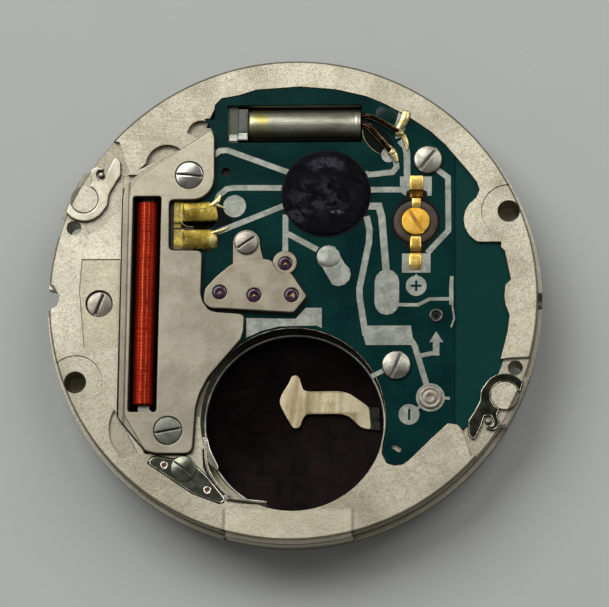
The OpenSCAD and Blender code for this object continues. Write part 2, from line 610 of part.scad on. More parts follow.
// Tracks as open lines, each with its width
tracks = [
    [[[-4.24, 7.66], [-3.93, 7.90], [-3.53, 7.92], [-0.30, 6.70]], track_w],
    [[[-4.06, 5.14], [-3.93, 5.46], [-3.54, 5.81], [-3.19, 5.87], [-0.55, 5.85]], track_w],
    [[[-3.98, 3.47], [-0.50, 4.88]], track_w],
    [[[-0.40, 4.40], [-0.39, 2.40]], track_w],
    [[[-0.30, 3.38], [1.30, 2.50]], track_w],
    [[[3.75, 6.62], [4.02, 6.55], [5.20, 6.68], [5.42, 6.95], [5.34, 7.52]], track_w],
    [[[4.06, 5.73], [5.60, 5.73]], track_w],
    [[[5.58, 8.40], [5.87, 8.07], [5.95, 7.71], [5.98, 6.30]], track_w * 1.15],
    [[[7.50, 6.85], [8.12, 6.37], [8.15, 3.51], [7.05, 2.30]], track_w],
    [[[3.95, 4.84], [4.50, 4.84], [4.66, 4.25], [4.92, 1.20]], track_w * 1.25],
    [[[3.86, 4.30], [4.02, 3.60], [4.00, 2.90], [3.52, 0.43], [3.54, -0.11], [3.86, -2.08]], track_w * 1.1],
    [[[6.05, -2.05], [6.42, -2.65], [7.10, -4.90]], track_w],
    [[[6.45, -3.22], [7.50, -3.00]], track_w * 0.75],
    [[[5.50, -0.46], [6.58, -0.47], [7.18, -0.16], [8.30, -0.15]], track_w * 0.6],
    [[[4.90, -3.90], [4.20, -4.26]], track_w * 0.8],
    [[[7.30, -5.36], [8.24, -5.42]], track_w * 0.5],
    [[[6.14, -6.26], [6.80, -5.78]], track_w * 0.5],
    [[[8.36, -0.47], [8.46, -1.20], [8.30, -1.66]], track_w * 0.3]];

module circuit_tracks() {
    color([0.72, 0.73, 0.70]) translate([0, 0, board_top]) linear_extrude(track_t) difference() {
        union() {
            for (t = tracks) polygon(ribbon(lay * t[0], t[1]));
            translate(lay * [-3.10, 4.87]) circle(0.60);
            polygon(concat(arc(lay * [1.90, 2.10], 0.64, 60, 240, 6),
                arc(lay * [2.42, 1.18], 0.64, 240, 420, 6)));
            polygon(concat(arc(lay * [4.95, 0.78], 0.64, 0, 180, 6),
                arc(lay * [4.95, -0.36], 0.64, 180, 360, 6)));
            polygon(lay * [[3.60, -1.57], [6.22, -1.57], [6.36, -2.60], [3.88, -2.60]]);
            polygon(lay * [[5.51, 9.95], [6.02, 9.62], [5.70, 8.60], [5.36, 8.50], [5.30, 9.20]]);
            polygon(lay * [[5.60, 6.44], [7.27, 6.43], [7.27, 5.40], [6.90, 5.36], [5.95, 5.36],
                [5.61, 5.60]]);
            polygon(lay * [[5.73, 2.28], [7.22, 2.28], [7.22, 1.25], [5.73, 1.25]]);
            polygon(lay * [[-2.38, -1.16], [0.20, -1.20], [0.72, -0.62], [1.56, -0.62], [1.58, -1.70],
                [1.30, -1.56], [-0.65, -1.60], [-1.57, -1.84], [-2.36, -2.20]]);
            translate(lay * [7.24, -5.37]) circle(0.74);
            translate(lay * [6.14, -6.26]) circle(0.54);
            translate(lay * [6.48, 0.55]) circle(0.54);
            polygon(lay * [[6.36, 1.02], [6.48, 1.20], [6.60, 1.02]]);
            polygon(lay * [[7.53, -1.88], [7.17, -2.45], [7.36, -2.45], [7.36, -3.16], [7.70, -3.16],
                [7.70, -2.45], [7.90, -2.45]]);
            polygon(lay * [[8.24, 1.06], [8.42, 1.06], [8.42, -0.47], [8.20, -0.47], [8.20, 0.6]]);
            translate(lay * [5.00, 7.62]) circle(0.40);
        }
        translate(lay * [6.09, -6.55]) square([0.12, 0.58]);
        translate(lay * [6.42, 0.27]) square([0.12, 0.56]);
        translate(lay * [6.20, 0.49]) square([0.56, 0.12]);
        for (c = circuit_screw_c) translate(c) circle(0.40);
        translate(trimmer_c) circle(trimmer_d / 2 + 0.1);
        translate(chip_c) circle(chip_d / 2 - 0.02);
    }
}

module ic_blob() {
    ball_r = (pow(chip_d / 2, 2) + pow(chip_h, 2)) / (2 * chip_h);
    color([0.05, 0.05, 0.08]) intersection() {
        translate([chip_c[0], chip_c[1], board_top + chip_h - ball_r]) sphere(ball_r, $fn = 96);
        disc(chip_c, chip_d / 2 + 1, board_top, board_top + 1);
    }
}

module quartz_can() {
    color([0.62, 0.62, 0.56]) translate([can_x, can_y, can_z]) rotate([0, 90, 0]) {
        translate([0, 0, 0.12]) cylinder(d = can_d, h = can_len - 0.12);
        cylinder(d1 = can_d - 0.16, d2 = can_d, h = 0.12 + eps, $fn = 64);
    }
}

// A round wire along the points p, whose straight lengths run into each other at the bends
module wire(p, d) {
    for (i = [0:len(p) - 2]) let (v = p[i + 1] - p[i], l = norm(v), over = i > 0 ? d / 4 : 0)
        translate(p[i]) rotate([0, acos(v[2] / l), atan2(v[1], v[0])])
            translate([0, 0, -over]) cylinder(d = d, h = l + over);
}

module quartz_leads() {
    end_x = can_x + can_len;
    color([0.70, 0.60, 0.30]) {
        wire([[end_x, can_y + 0.22, can_z + 0.74], [end_x + 0.5, can_y + 0.16, board_top + 0.22],
            [5.20 * lay, 8.84 * lay, board_top + 0.20],
            [5.43 * lay, 8.58 * lay, board_top + 0.13]], 0.18);
        wire([[end_x, can_y - 0.30, can_z + 0.72], [end_x + 0.4, can_y - 0.50, board_top + 0.20],
            [4.78 * lay, 8.12 * lay, board_top + 0.18],
            [4.96 * lay, 7.80 * lay, board_top + 0.13]], 0.18);
    }
}

module dome(c, r, h, z) {
    ball_r = (r * r + h * h) / (2 * h);
    intersection() {
        translate([c[0], c[1], z + h - ball_r]) sphere(ball_r, $fn = 32);
        disc(c, r + 1, z, z + h + 1);
    }
}

module solder_joints() {
    color([0.75, 0.74, 0.62]) {
        dome(lay * [5.60, 8.42], 0.26, 0.16, board_top + track_t);
        dome(lay * [5.06, 7.58], 0.26, 0.16, board_top + track_t);
    }
}

module trimmer_body() {
    color([0.25, 0.18, 0.15]) ring(trimmer_c, trimmer_d / 2, 0.30, board_low - 0.33, board_top + 0.12);
}

module trimmer_terminals() {
    color([0.80, 0.65, 0.25]) {
        block(lay * [6.08, 5.76], lay * [6.85, 6.42], board_top + track_t, board_top + 0.13);
        block(lay * [6.12, 5.20], lay * [6.82, 5.77], board_top + 0.06, board_top + 0.13);
        block(lay * [6.22, 4.80], lay * [6.75, 5.21], board_top + 0.13, board_top + 0.19);
        block(lay * [6.12, 2.34], lay * [6.78, 3.10], board_top + 0.13, board_top + 0.19);
        block(lay * [6.06, 1.40], lay * [6.79, 2.35], board_top + track_t, board_top + 0.14);
    }
}

module trimmer_rotor() {
    color([0.95, 0.70, 0.25]) {
        screw(trimmer_c, trimmer_disc_d, 0.16, 0.50, 0.30, board_top + 0.14, -60, 0.12);
    }
}

module coil_winding() {
    color([0.62, 0.16, 0.09]) translate([-coil_side, 5.22 * lay, coil_z]) rotate([90, 0, 0]) difference() {
        cylinder(d = coil_d, h = coil_len);
        translate([-core_w / 2, -core_t / 2, -eps]) cube([core_w, core_t, coil_len + 2 * eps]);
    }
}
module coil_core() {
    half = (core_w / 2 - seat_gap) / lay;
    color([0.60, 0.60, 0.58]) difference() {
        prism(lay * [[-coil_x + half, 5.50], [-6.35, 5.65], [-4.76, 5.65], [-4.76, 7.30], [-6.35, 7.30],
            [-coil_x - half, 5.90], [-coil_x - half, -6.30], [-7.15, -7.95], [-5.50, -7.95],
            [-5.50, -6.35], [-6.90, -6.30], [-coil_x + half, -5.95]],
            stator_z + stator_t, coil_z + core_t / 2 - seat_gap);
        for (c = cover_screw_c) disc(c, pillar_r + 0.02, 0, 5);
    }
}

module coil_flex() {
    color([0.12, 0.10, 0.08])
        block(lay * [-6.95, 2.46], lay * [-5.24, 5.30], stator_z + stator_t, board_top);
}

module coil_terminals() {
    color([0.78, 0.66, 0.22]) {
        block(lay * [-6.28, 3.70], lay * [-4.02, 5.12], board_top, board_top + 0.09);
        block(lay * [-6.26, 2.58], lay * [-3.98, 3.62], board_top, board_top + 0.09);
    }
}

module coil_cover() {
    color([0.76, 0.74, 0.71]) difference() {
        union() {
            prism(cover_outline, cover_low, cover_top - 0.12);
            prism(cover_high_outline, cover_low, cover_top);
        }
        block([-coil_side - window_w / 2, 5.35 * lay - window_len],
            [-coil_side + window_w / 2, 5.35 * lay], 0, 5);
        for (c = cover_screw_c) {
            disc(c, 0.34, 0, 5);
            disc(c, cover_screw_d / 2 + 0.03, cover_low + 0.12, 5);
        }
    }
}

module cover_screws() {
    color([0.66, 0.66, 0.64]) {
        seat = cover_low + 0.13;
        screw(cover_screw_c[0], cover_screw_d, cover_t - 0.09, 0.56, 1.1, seat, -6);
        screw(cover_screw_c[1], cover_screw_d, cover_t - 0.13, 0.56, 1.1, seat, 11);
    }
}

module stator() {
    hole = magnet_d / 2 + air_gap;
    color([0.58, 0.58, 0.56]) difference() {
        prism(lay * [[-4.76, 5.60], [-4.76, 7.30], [-6.35, 7.30], [-6.75, 6.40], [-6.75, -6.20],
            [-7.15, -7.95],
            [-5.50, -7.95], [-5.45, -6.10], [-5.15, -4.60], [-2.90, -1.50], [-2.95, 1.30], [-5.0, 2.8]],
            stator_z, stator_z + stator_t);
        disc(rotor_c, hole, 0, 5);
        disc(rotor_c + 0.78 * hole * [cos(40), sin(40)], 0.26, 0, 5);
        disc(rotor_c + 0.78 * hole * [cos(220), sin(220)], 0.26, 0, 5);
        for (c = cover_screw_c) disc(c, pillar_r + 0.02, 0, 5);
    }
}

module rotor_magnet() {
    color([0.45, 0.45, 0.46]) ring(rotor_c, magnet_d / 2, 0.15 + seat_gap, magnet_z, magnet_z + magnet_t);
}

// Turns of the train's wheels, from the intermediate wheel outwards
foot_pivot = foot_jewel_top - jewel_t + 0.02;
inter_turn = rotor_at;
inter_pinion_turn = mesh(180, second_n, inter_pinion_n, 180);
minute_turn = mesh(minute_at + 180 / cannon_n, cannon_n, minute_n, minute_at);
hour_turn = minute_at;
date_pinion_turn = idler_at;
idler_wheel_turn = mesh(date_pinion_turn, date_pinion_n, idler_n, idler_at);

module rotor_shaft() {
    color([0.72, 0.72, 0.72]) {
        arbor(rotor_c, 0.15, magnet_z - 0.02, bridge_low - 0.04, foot_pivot, jewel_top - 0.02);
        wheel(rotor_c, rotor_n, rotor_m, inter_z - 0.04, wheel_t + 0.08, 0.10,
            mesh(inter_turn, inter_n, rotor_n, rotor_at));
    }
}

module intermediate_wheel() {
    color([0.80, 0.68, 0.35]) {
        arbor(inter_c, 0.10, train_floor + 0.03, bridge_low - 0.04, foot_pivot, jewel_top - 0.02);
        wheel(inter_c, inter_n, rotor_m, inter_z, wheel_t, 0.05, inter_turn);
        wheel(inter_c, inter_pinion_n, inter_m, second_z - 0.04, wheel_t + 0.08, 0.05, inter_pinion_turn);
    }
}

module seconds_wheel() {
    color([0.80, 0.68, 0.35]) {
        disc([0, 0], second_seat_d / 2, -second_reach, second_seat_top);
        taper(second_seat_d / 2, arbor_r, second_seat_top - eps, 0);
        disc([0, 0], arbor_r, -eps, bridge_low - 0.04);
        disc([0, 0], 0.05, bridge_low - 0.05, jewel_top - 0.02);
        wheel([0, 0], second_n, inter_m, second_z, wheel_t, 0.05, 180);
        wheel([0, 0], second_pinion_n, second_m, third_z - 0.04, wheel_t + 0.08, 0.05, third_at);
    }
}

module third_wheel() {
    color([0.80, 0.68, 0.35]) {
        arbor(third_c, 0.06, train_floor + 0.03, lobe_top - jewel_t - 0.02, foot_pivot, lobe_top - 0.02);
        wheel(third_c, third_n, second_m, third_z, wheel_t, 0.05,
            mesh(third_at, second_pinion_n, third_n, third_at));
        wheel(third_c, third_pinion_n, third_m, centre_z - 0.03, wheel_t + 0.06, 0.05, third_at + 180);
    }
}

module centre_wheel() {
    color([0.80, 0.68, 0.35]) wheel([0, 0], centre_n, third_m, centre_z, wheel_t, 0.31 + seat_gap,
        mesh(third_at + 180, third_pinion_n, centre_n, third_at + 180));
}

module cannon_pinion() {
    color([0.74, 0.72, 0.68]) difference() {
        union() {
            disc([0, 0], minute_seat_d / 2, -minute_reach, minute_seat_top);
            taper(minute_seat_d / 2, cannon_r, minute_seat_top - eps, -0.4);
            disc([0, 0], cannon_r, -0.4 - eps, train_floor + 0.03);
            disc([0, 0], 0.31, train_floor, centre_z + wheel_t + 0.03);
            wheel([0, 0], cannon_n, cannon_m, minute_z - 0.02, 0.17, 0.30, minute_at + 180 / cannon_n);
        }
        disc([0, 0], cannon_bore_r, -5, 5);
    }
}

module minute_wheel() {
    color([0.80, 0.70, 0.45]) {
        wheel(minute_c, minute_n, cannon_m, minute_z, 0.11, post_r + pipe_gap, minute_turn);
        wheel(minute_c, minute_pinion_n, hour_m, hour_z - 0.01, minute_z - hour_z + 0.02,
            post_r + pipe_gap, mesh(hour_turn, hour_n, minute_pinion_n, minute_at));
    }
}

// The hour wheel carries the fine date pinion below its disc
module hour_wheel() {
    color([0.82, 0.72, 0.45]) difference() {
        union() {
            disc([0, 0], hour_seat_d / 2, -hour_reach, hour_seat_top);
            taper(hour_seat_d / 2, hour_seat_d / 2 + 0.05, hour_seat_top - eps, hour_z + 0.01);
            wheel([0, 0], date_pinion_n, date_m, date_wheel_z, 0.13, hour_bore_r, date_pinion_turn);
            wheel([0, 0], hour_n, hour_m, hour_z, 0.11, hour_bore_r, hour_turn);
        }
        disc([0, 0], hour_bore_r, -5, 5);
    }
}

module date_idler() {
    color([0.82, 0.72, 0.45])
        wheel(idler_c, idler_n, date_m, date_wheel_z, 0.10, post_r + pipe_gap, idler_wheel_turn);
}

module date_driving_wheel() {
    finger_r = ring_in_r + 0.16 - date_drive_r;
    color([0.82, 0.72, 0.45]) {
        wheel(drive_c, drive_n, date_m, date_wheel_z, 0.10, post_r + pipe_gap,
            mesh(idler_wheel_turn, idler_n, drive_n, drive_from_idler));
        translate([drive_c[0], drive_c[1], 0]) rotate(date_drive_at - 90)
            prism([[1.70, -0.16], [finger_r, -0.05], [finger_r, 0.07], [1.70, 0.16]],
                date_wheel_z, date_wheel_z + 0.10);
    }
}

module date_ring() {
    step = 360 / date_teeth;
    teeth = [for (i = [0:date_teeth - 1]) for (k = [[0.07, 0.32], [0.43, 0.0], [0.57, 0.0], [0.93, 0.32]])
        let (a = beak_at + step * (i + k[0]), r = ring_in_r + k[1]) [r * cos(a), r * sin(a)]];
    color([0.92, 0.92, 0.90]) difference() {
        disc([0, 0], ring_out_r, date_z, date_z + date_ring_t);
        prism(teeth, date_z - 1, date_z + 1);
    }
}

module date_jumper() {
    color([0.70, 0.70, 0.70]) difference() {
        translate([jumper_c[0], jumper_c[1], 0]) prism(concat(arc([0, 0], 0.34, 20, 160, 6),
            [[-0.55, -1.2], [-1.00, -2.15], [-0.92, -2.42], [-0.65, -2.35], [-0.02, -1.15]]),
            date_wheel_z, date_wheel_z + 0.11);
        disc(jumper_c, post_r + pipe_gap, 0, 1);
    }
}

module date_cover() {
    color([0.78, 0.77, 0.72]) difference() {
        disc([0, 0], date_cover_r, 0, date_cover_t - 0.005);
        disc([0, 0], 1.10, -1, 1);
        for (c = date_screws) {
            disc(c, 0.24, -1, 1);
            disc(c, 0.52, -1, date_cover_t - 0.05);
        }
        disc(drive_c, 0.5, -1, 1);
        disc(minute_c, 0.45, -1, 1);
        disc(jumper_c, 0.30, -1, 1);
    }
}

module date_cover_screws() {
    color([0.66, 0.66, 0.64]) for (i = [0:len(date_screws) - 1])
        rotate([180, 0, 0]) screw([date_screws[i][0], -date_screws[i][1]], 1.0, 0.05, 0.40, 0.55,
            -date_cover_t + 0.05, 37 * i, 0.14);
}

module train_bridge() {
    color([0.77, 0.75, 0.71]) difference() {
        union() {
            prism(bridge_outline, bridge_low, bridge_top);
            disc(lay * [-0.40, 1.78], 0.63, bridge_low - 0.08, lobe_top + 0.02);
            disc(bridge_screw_c, 0.66, bridge_low, lobe_top);
            prism(lay * [[-3.08, 1.55], [-3.04, 2.7], [-1.80, 2.7], [-1.50, 1.7]], bridge_low, lobe_top);
            prism(bridge_foot_outline, foot_low, board_low - 0.02);
            prism(lay * [[0.28, -0.56], [0.52, -0.58], [0.70, -0.10], [0.42, 0.40], [0.28, 0.20]],
                foot_low, bridge_top);
        }
        for (c = jewel_centres) disc(c, jewel_d / 2 + 0.005, 0, 5);
        disc(bridge_screw_c, 0.33, 0, 5);
    }
}
jewel_centres = [rotor_c, inter_c, [0, 0], third_c];

module jewel(c, z) {
    difference() {
        disc(c, jewel_d / 2, z, z + jewel_t);
        disc(c, 0.065, z - 1, z + 1);
        translate([c[0], c[1], z + jewel_t - 0.07]) cylinder(r1 = 0.065, r2 = 0.17, h = 0.08);
    }
}

module bridge_jewels() {
    color([0.35, 0.05, 0.16]) for (i = [0:3])
        jewel(jewel_centres[i], (i < 3 ? jewel_top : lobe_top) - jewel_t);
}

module plate_jewels() {
    color([0.45, 0.05, 0.16]) for (i = [0, 1, 3]) jewel(jewel_centres[i], foot_jewel_top - jewel_t);
}

module bridge_screw() {
    color([0.76, 0.75, 0.72]) screw(bridge_screw_c, 1.22, 0.20, 0.56, 0.80, lobe_top + seat_gap, 35);
}

module circuit_screws() {
    color([0.78, 0.78, 0.76]) {
        screw(circuit_screw_c[0], 1.50, 0.24, 0.56, 0.80, board_top + 0.04, 54);
        screw(circuit_screw_c[1], 1.50, 0.24, 0.56, 0.80, board_top + 0.04, 71);
    }
}

module contact_rivets() {
    color([0.62, 0.62, 0.58]) {
        disc(lay * [7.24, -5.37], 0.62, board_top + track_t, board_top + 0.14);
        disc(lay * [7.53, -1.04], 0.38, board_top, board_top + 0.12);
        dome(lay * [1.88, 2.13], 0.60, 0.16, board_top + track_t);
    }
}

module negative_contact() {
    z = well_floor + insulator_t + 0.14;
    color([0.85, 0.76, 0.58]) {
        prism(contact_outline, z, z + contact_t);
        prism(lay * [[4.02, -5.62], [4.13, -6.84], [4.66, -6.86], [4.58, -5.66]], z - 0.06, z + contact_t);
        disc(lay * [3.9, -6.2], 0.35, well_floor + insulator_t, z + eps);
    }
}

module battery_insulator() {
    color([0.10, 0.04, 0.04]) disc(well_c, well_r - 0.06, well_floor, well_floor + insulator_t);
}

module battery_clamp() {
    color([0.20, 0.22, 0.24]) {
        difference() {
            prism(battery_clamp_outline, plate_h - 0.19, plate_h + 0.02);
            disc(clamp_screw_c, 0.33, 0, 5);
            for (c = battery_clamp_holes) disc(c, 0.14, 0, 5);
        }
        prism(ribbon(lay * [[-4.38, -7.56], [-4.28, -8.90], [-3.78, -9.86], [-3.06, -10.58], [-2.54, -10.68],
            [-1.15, -10.86]], 0.12), 1.35, plate_h - 0.03);
        prism(lay * [[-3.46, -10.50], [-3.42, -10.84], [-2.98, -10.68], [-3.08, -10.50]],
            plate_h - 0.19, plate_h - 0.03);
    }
}

module clamp_screw() {
    color([0.25, 0.27, 0.28]) screw(clamp_screw_c, 1.34, 0.22, 0.56, 0.80, plate_h + 0.03, -38);
}

module foot_clamp() {
    translate([boss_c[0], boss_c[1], 0]) prism(clamp_outline, clamp_z, clamp_z + clamp_t);
}
module dial_foot_clamp_a() { color([0.78, 0.76, 0.70]) foot_clamp(); }
module dial_foot_clamp_b() { color([0.35, 0.35, 0.36]) rotate(180) foot_clamp(); }

module clamp_pins() {
    color([0.75, 0.74, 0.70]) for (a = [0, 180]) rotate(a) disc(stop_pin_c, 0.115, 1.25, plate_h + 0.02);
}

module rim_screw() {
    color([0.55, 0.55, 0.53]) screw(rim_screw_c, 1.36, 0.28, 0.56, 0.6, plate_h - 0.44, 70, 0.2);
}

module setting_lever() {
    color([0.60, 0.60, 0.60]) difference() {
        union() {
            prism(concat(arc(lever_c, 0.45, 20, 160, 5), lay * [[9.10, 0.10], [9.15, -0.85], [9.75, -0.85],
                [10.20, 0.40]]), lever_z, lever_z + lever_t);
            disc(lever_pin_c, 0.16, stem_z + 0.1, lever_z + eps);
        }
        disc(lever_c, post_r + pipe_gap, 0, 5);
    }
}

module yoke() {
    color([0.60, 0.60, 0.60]) difference() {
        union() {
            prism(lay * [[6.05, 2.65], [6.75, 2.65], [7.62, 1.10], [7.78, 0.10], [7.46, 0.05], [7.30, 0.90],
                [6.05, 1.95]], yoke_z, yoke_z + lever_t);
            disc([pinion_at + 0.64, 0.16], 0.09, stem_z + 0.46, yoke_z + eps);
        }
        disc(yoke_c, post_r + pipe_gap, 0, 5);
    }
}

module setting_spring() {
    color([0.62, 0.62, 0.60]) difference() {
        prism(lay * [[5.70, -1.50], [6.20, -2.25], [9.90, -2.25], [10.3, -1.60], [8.95, -1.15], [8.6, -1.60],
            [6.6, -1.40]], lever_z - 0.08, lever_z + lever_t - seat_gap);
        disc(spring_c, post_r + seat_gap, 0, 5);
    }
}

module sliding_pinion() {
    toothing = gear_points(pinion_n, pinion_m);
    color([0.70, 0.70, 0.70]) translate([pinion_at, 0, stem_z]) rotate([0, 90, 0]) difference() {
        union() {
            linear_extrude(0.45) polygon(toothing);
            translate([0, 0, 0.44]) cylinder(r = 0.41, h = 0.41);
            translate([0, 0, 0.84]) linear_extrude(pinion_l - 0.84) polygon(toothing);
        }
        translate([-0.2, -0.2, -1]) cube([0.4, 0.4, 4]);
    }
}

module setting_wheel() {
    color([0.75, 0.72, 0.62]) wheel(setting_c, setting_n, cannon_m, minute_z, 0.12, post_r + pipe_gap,
        mesh(minute_turn, minute_n, setting_n, setting_at));
}

main_plate();
circuit_board();
circuit_tracks();
ic_blob();
quartz_can();
quartz_leads();
solder_joints();
trimmer_body();
trimmer_terminals();
trimmer_rotor();
coil_winding();
coil_core();
coil_flex();
coil_terminals();
coil_cover();
cover_screws();
stator();
rotor_magnet();
rotor_shaft();
intermediate_wheel();
seconds_wheel();
third_wheel();
centre_wheel();
cannon_pinion();
minute_wheel();
hour_wheel();
train_bridge();
bridge_jewels();
plate_jewels();
bridge_screw();
circuit_screws();
contact_rivets();
negative_contact();
battery_insulator();
battery_clamp();
clamp_screw();
dial_foot_clamp_a();
dial_foot_clamp_b();
clamp_pins();
rim_screw();
setting_lever();
yoke();
setting_spring();
sliding_pinion();
setting_wheel();
date_idler();
date_driving_wheel();
date_ring();
date_jumper();
date_cover();
date_cover_screws();
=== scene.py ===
import logging
import math
from dataclasses import dataclass
from enum import Enum
from functools import reduce
from typing import Any, Callable, Iterable, Optional, Sequence

import bmesh
import bpy
import numpy as np
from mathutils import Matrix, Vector
from mathutils.geometry import tessellate_polygon


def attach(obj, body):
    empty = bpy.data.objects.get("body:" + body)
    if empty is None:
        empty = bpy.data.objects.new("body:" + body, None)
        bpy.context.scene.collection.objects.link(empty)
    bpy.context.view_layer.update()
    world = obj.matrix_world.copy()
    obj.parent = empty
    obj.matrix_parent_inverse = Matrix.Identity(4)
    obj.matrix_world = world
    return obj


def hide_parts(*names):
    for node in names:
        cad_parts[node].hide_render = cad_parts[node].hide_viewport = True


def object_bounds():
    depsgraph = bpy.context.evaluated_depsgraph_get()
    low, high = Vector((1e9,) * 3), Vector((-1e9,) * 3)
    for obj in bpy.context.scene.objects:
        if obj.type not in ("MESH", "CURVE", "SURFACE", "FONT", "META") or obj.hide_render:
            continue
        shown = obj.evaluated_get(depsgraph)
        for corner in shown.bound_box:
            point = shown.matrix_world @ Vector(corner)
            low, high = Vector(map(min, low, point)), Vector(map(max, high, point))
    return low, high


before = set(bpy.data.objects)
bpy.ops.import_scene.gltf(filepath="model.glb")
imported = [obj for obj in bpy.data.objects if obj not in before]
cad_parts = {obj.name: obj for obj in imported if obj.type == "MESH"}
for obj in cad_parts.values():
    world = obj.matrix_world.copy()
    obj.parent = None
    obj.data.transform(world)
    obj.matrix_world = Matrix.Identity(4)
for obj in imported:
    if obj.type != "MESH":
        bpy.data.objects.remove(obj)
CAD_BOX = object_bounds()

# In metres: one millimetre, the distance at which two points are one, and an edge of no length.
MM = 0.001
SAME_POINT = 1e-7
NO_LENGTH = 1e-8
# In degrees: the folds from which a CAD edge is shaded as sharp, and from which it is softened.
SHARP_FROM = 28
SOFTENED_FROM = 32
# In millimetres: the flat rim past a rounding, which keeps the shading of wide faces even.
SHADE_RIM = 0.018
LOG = logging.getLogger("movement")
Points = np.ndarray
Pair = tuple[float, float]
Line = Sequence[Pair]
Triple = tuple[float, float, float]
Waves = Callable[[Points, Points], Points]


def lin(red: int, green: int, blue: int) -> Triple:
    """The linear light, each channel 0 to 1, of a colour counted 0 to 255 on a screen."""
    c = np.array([red, green, blue]) / 255
    return tuple(float(v) for v in np.where(c <= 0.04045, c / 12.92, ((c + 0.055) / 1.055) ** 2.4))


class Grain(Enum):
    """How a metal surface was left by its last tool: how much its frost and its tool lines count."""

    SATIN = (0.5, 0.35)
    BRUSHED = (0.25, 1.0)
    POLISHED = (0.12, 0.18)


class Body(Enum):
    """The moving groups that new pieces ride on."""

    PLATE = "plate"
    TRIMMER = "trimmer_disc"
    LOCK_A = "foot_lock_a"
    LOCK_B = "foot_lock_b"
    DATE = "date_disc"


class Sock:
    """A shader value on which sums are written as Python expressions."""

    def __init__(self, bench: "Bench", socket: bpy.types.NodeSocket) -> None:
        """Keep the socket and the bench it belongs to."""
        self.bench = bench
        self.socket = socket

    def maths(self, operation: str, *values: "float | Sock") -> "Sock":
        """One Math node with its inputs in order."""
        return self.bench.node("ShaderNodeMath", {"operation": operation}, dict(enumerate(values)))

    def __add__(self, other: "float | Sock") -> "Sock":
        """Self plus other."""
        return self.maths("ADD", self, other)

    def __radd__(self, other: float) -> "Sock":
        """Other plus self."""
        return self.maths("ADD", other, self)

    def __sub__(self, other: "float | Sock") -> "Sock":
        """Self minus other."""
        return self.maths("SUBTRACT", self, other)

    def __rsub__(self, other: float) -> "Sock":
        """Other minus self."""
        return self.maths("SUBTRACT", other, self)

    def __mul__(self, other: "float | Sock") -> "Sock":
        """Self times other."""
        return self.maths("MULTIPLY", self, other)

    def __rmul__(self, other: float) -> "Sock":
        """Other times self."""
        return self.maths("MULTIPLY", other, self)

    def __truediv__(self, other: "float | Sock") -> "Sock":
        """Self over other."""
        return self.maths("DIVIDE", self, other)

    def __pow__(self, other: "float | Sock") -> "Sock":
        """Self to the power other."""
        return self.maths("POWER", self, other)

    def step(self, low: float, high: float) -> "Sock":
        """Smooth step from 0 at low to 1 at high."""
        settings = {"interpolation_type": "SMOOTHSTEP"}
        return self.bench.node("ShaderNodeMapRange", settings, {0: self, 1: low, 2: high})

    def between(self, low: float, high: float, soft: float) -> "Sock":
        """One between low and high, falling to 0 over the width soft on both sides."""
        return self.step(low - soft, low + soft) * (1 - self.step(high - soft, high + soft))


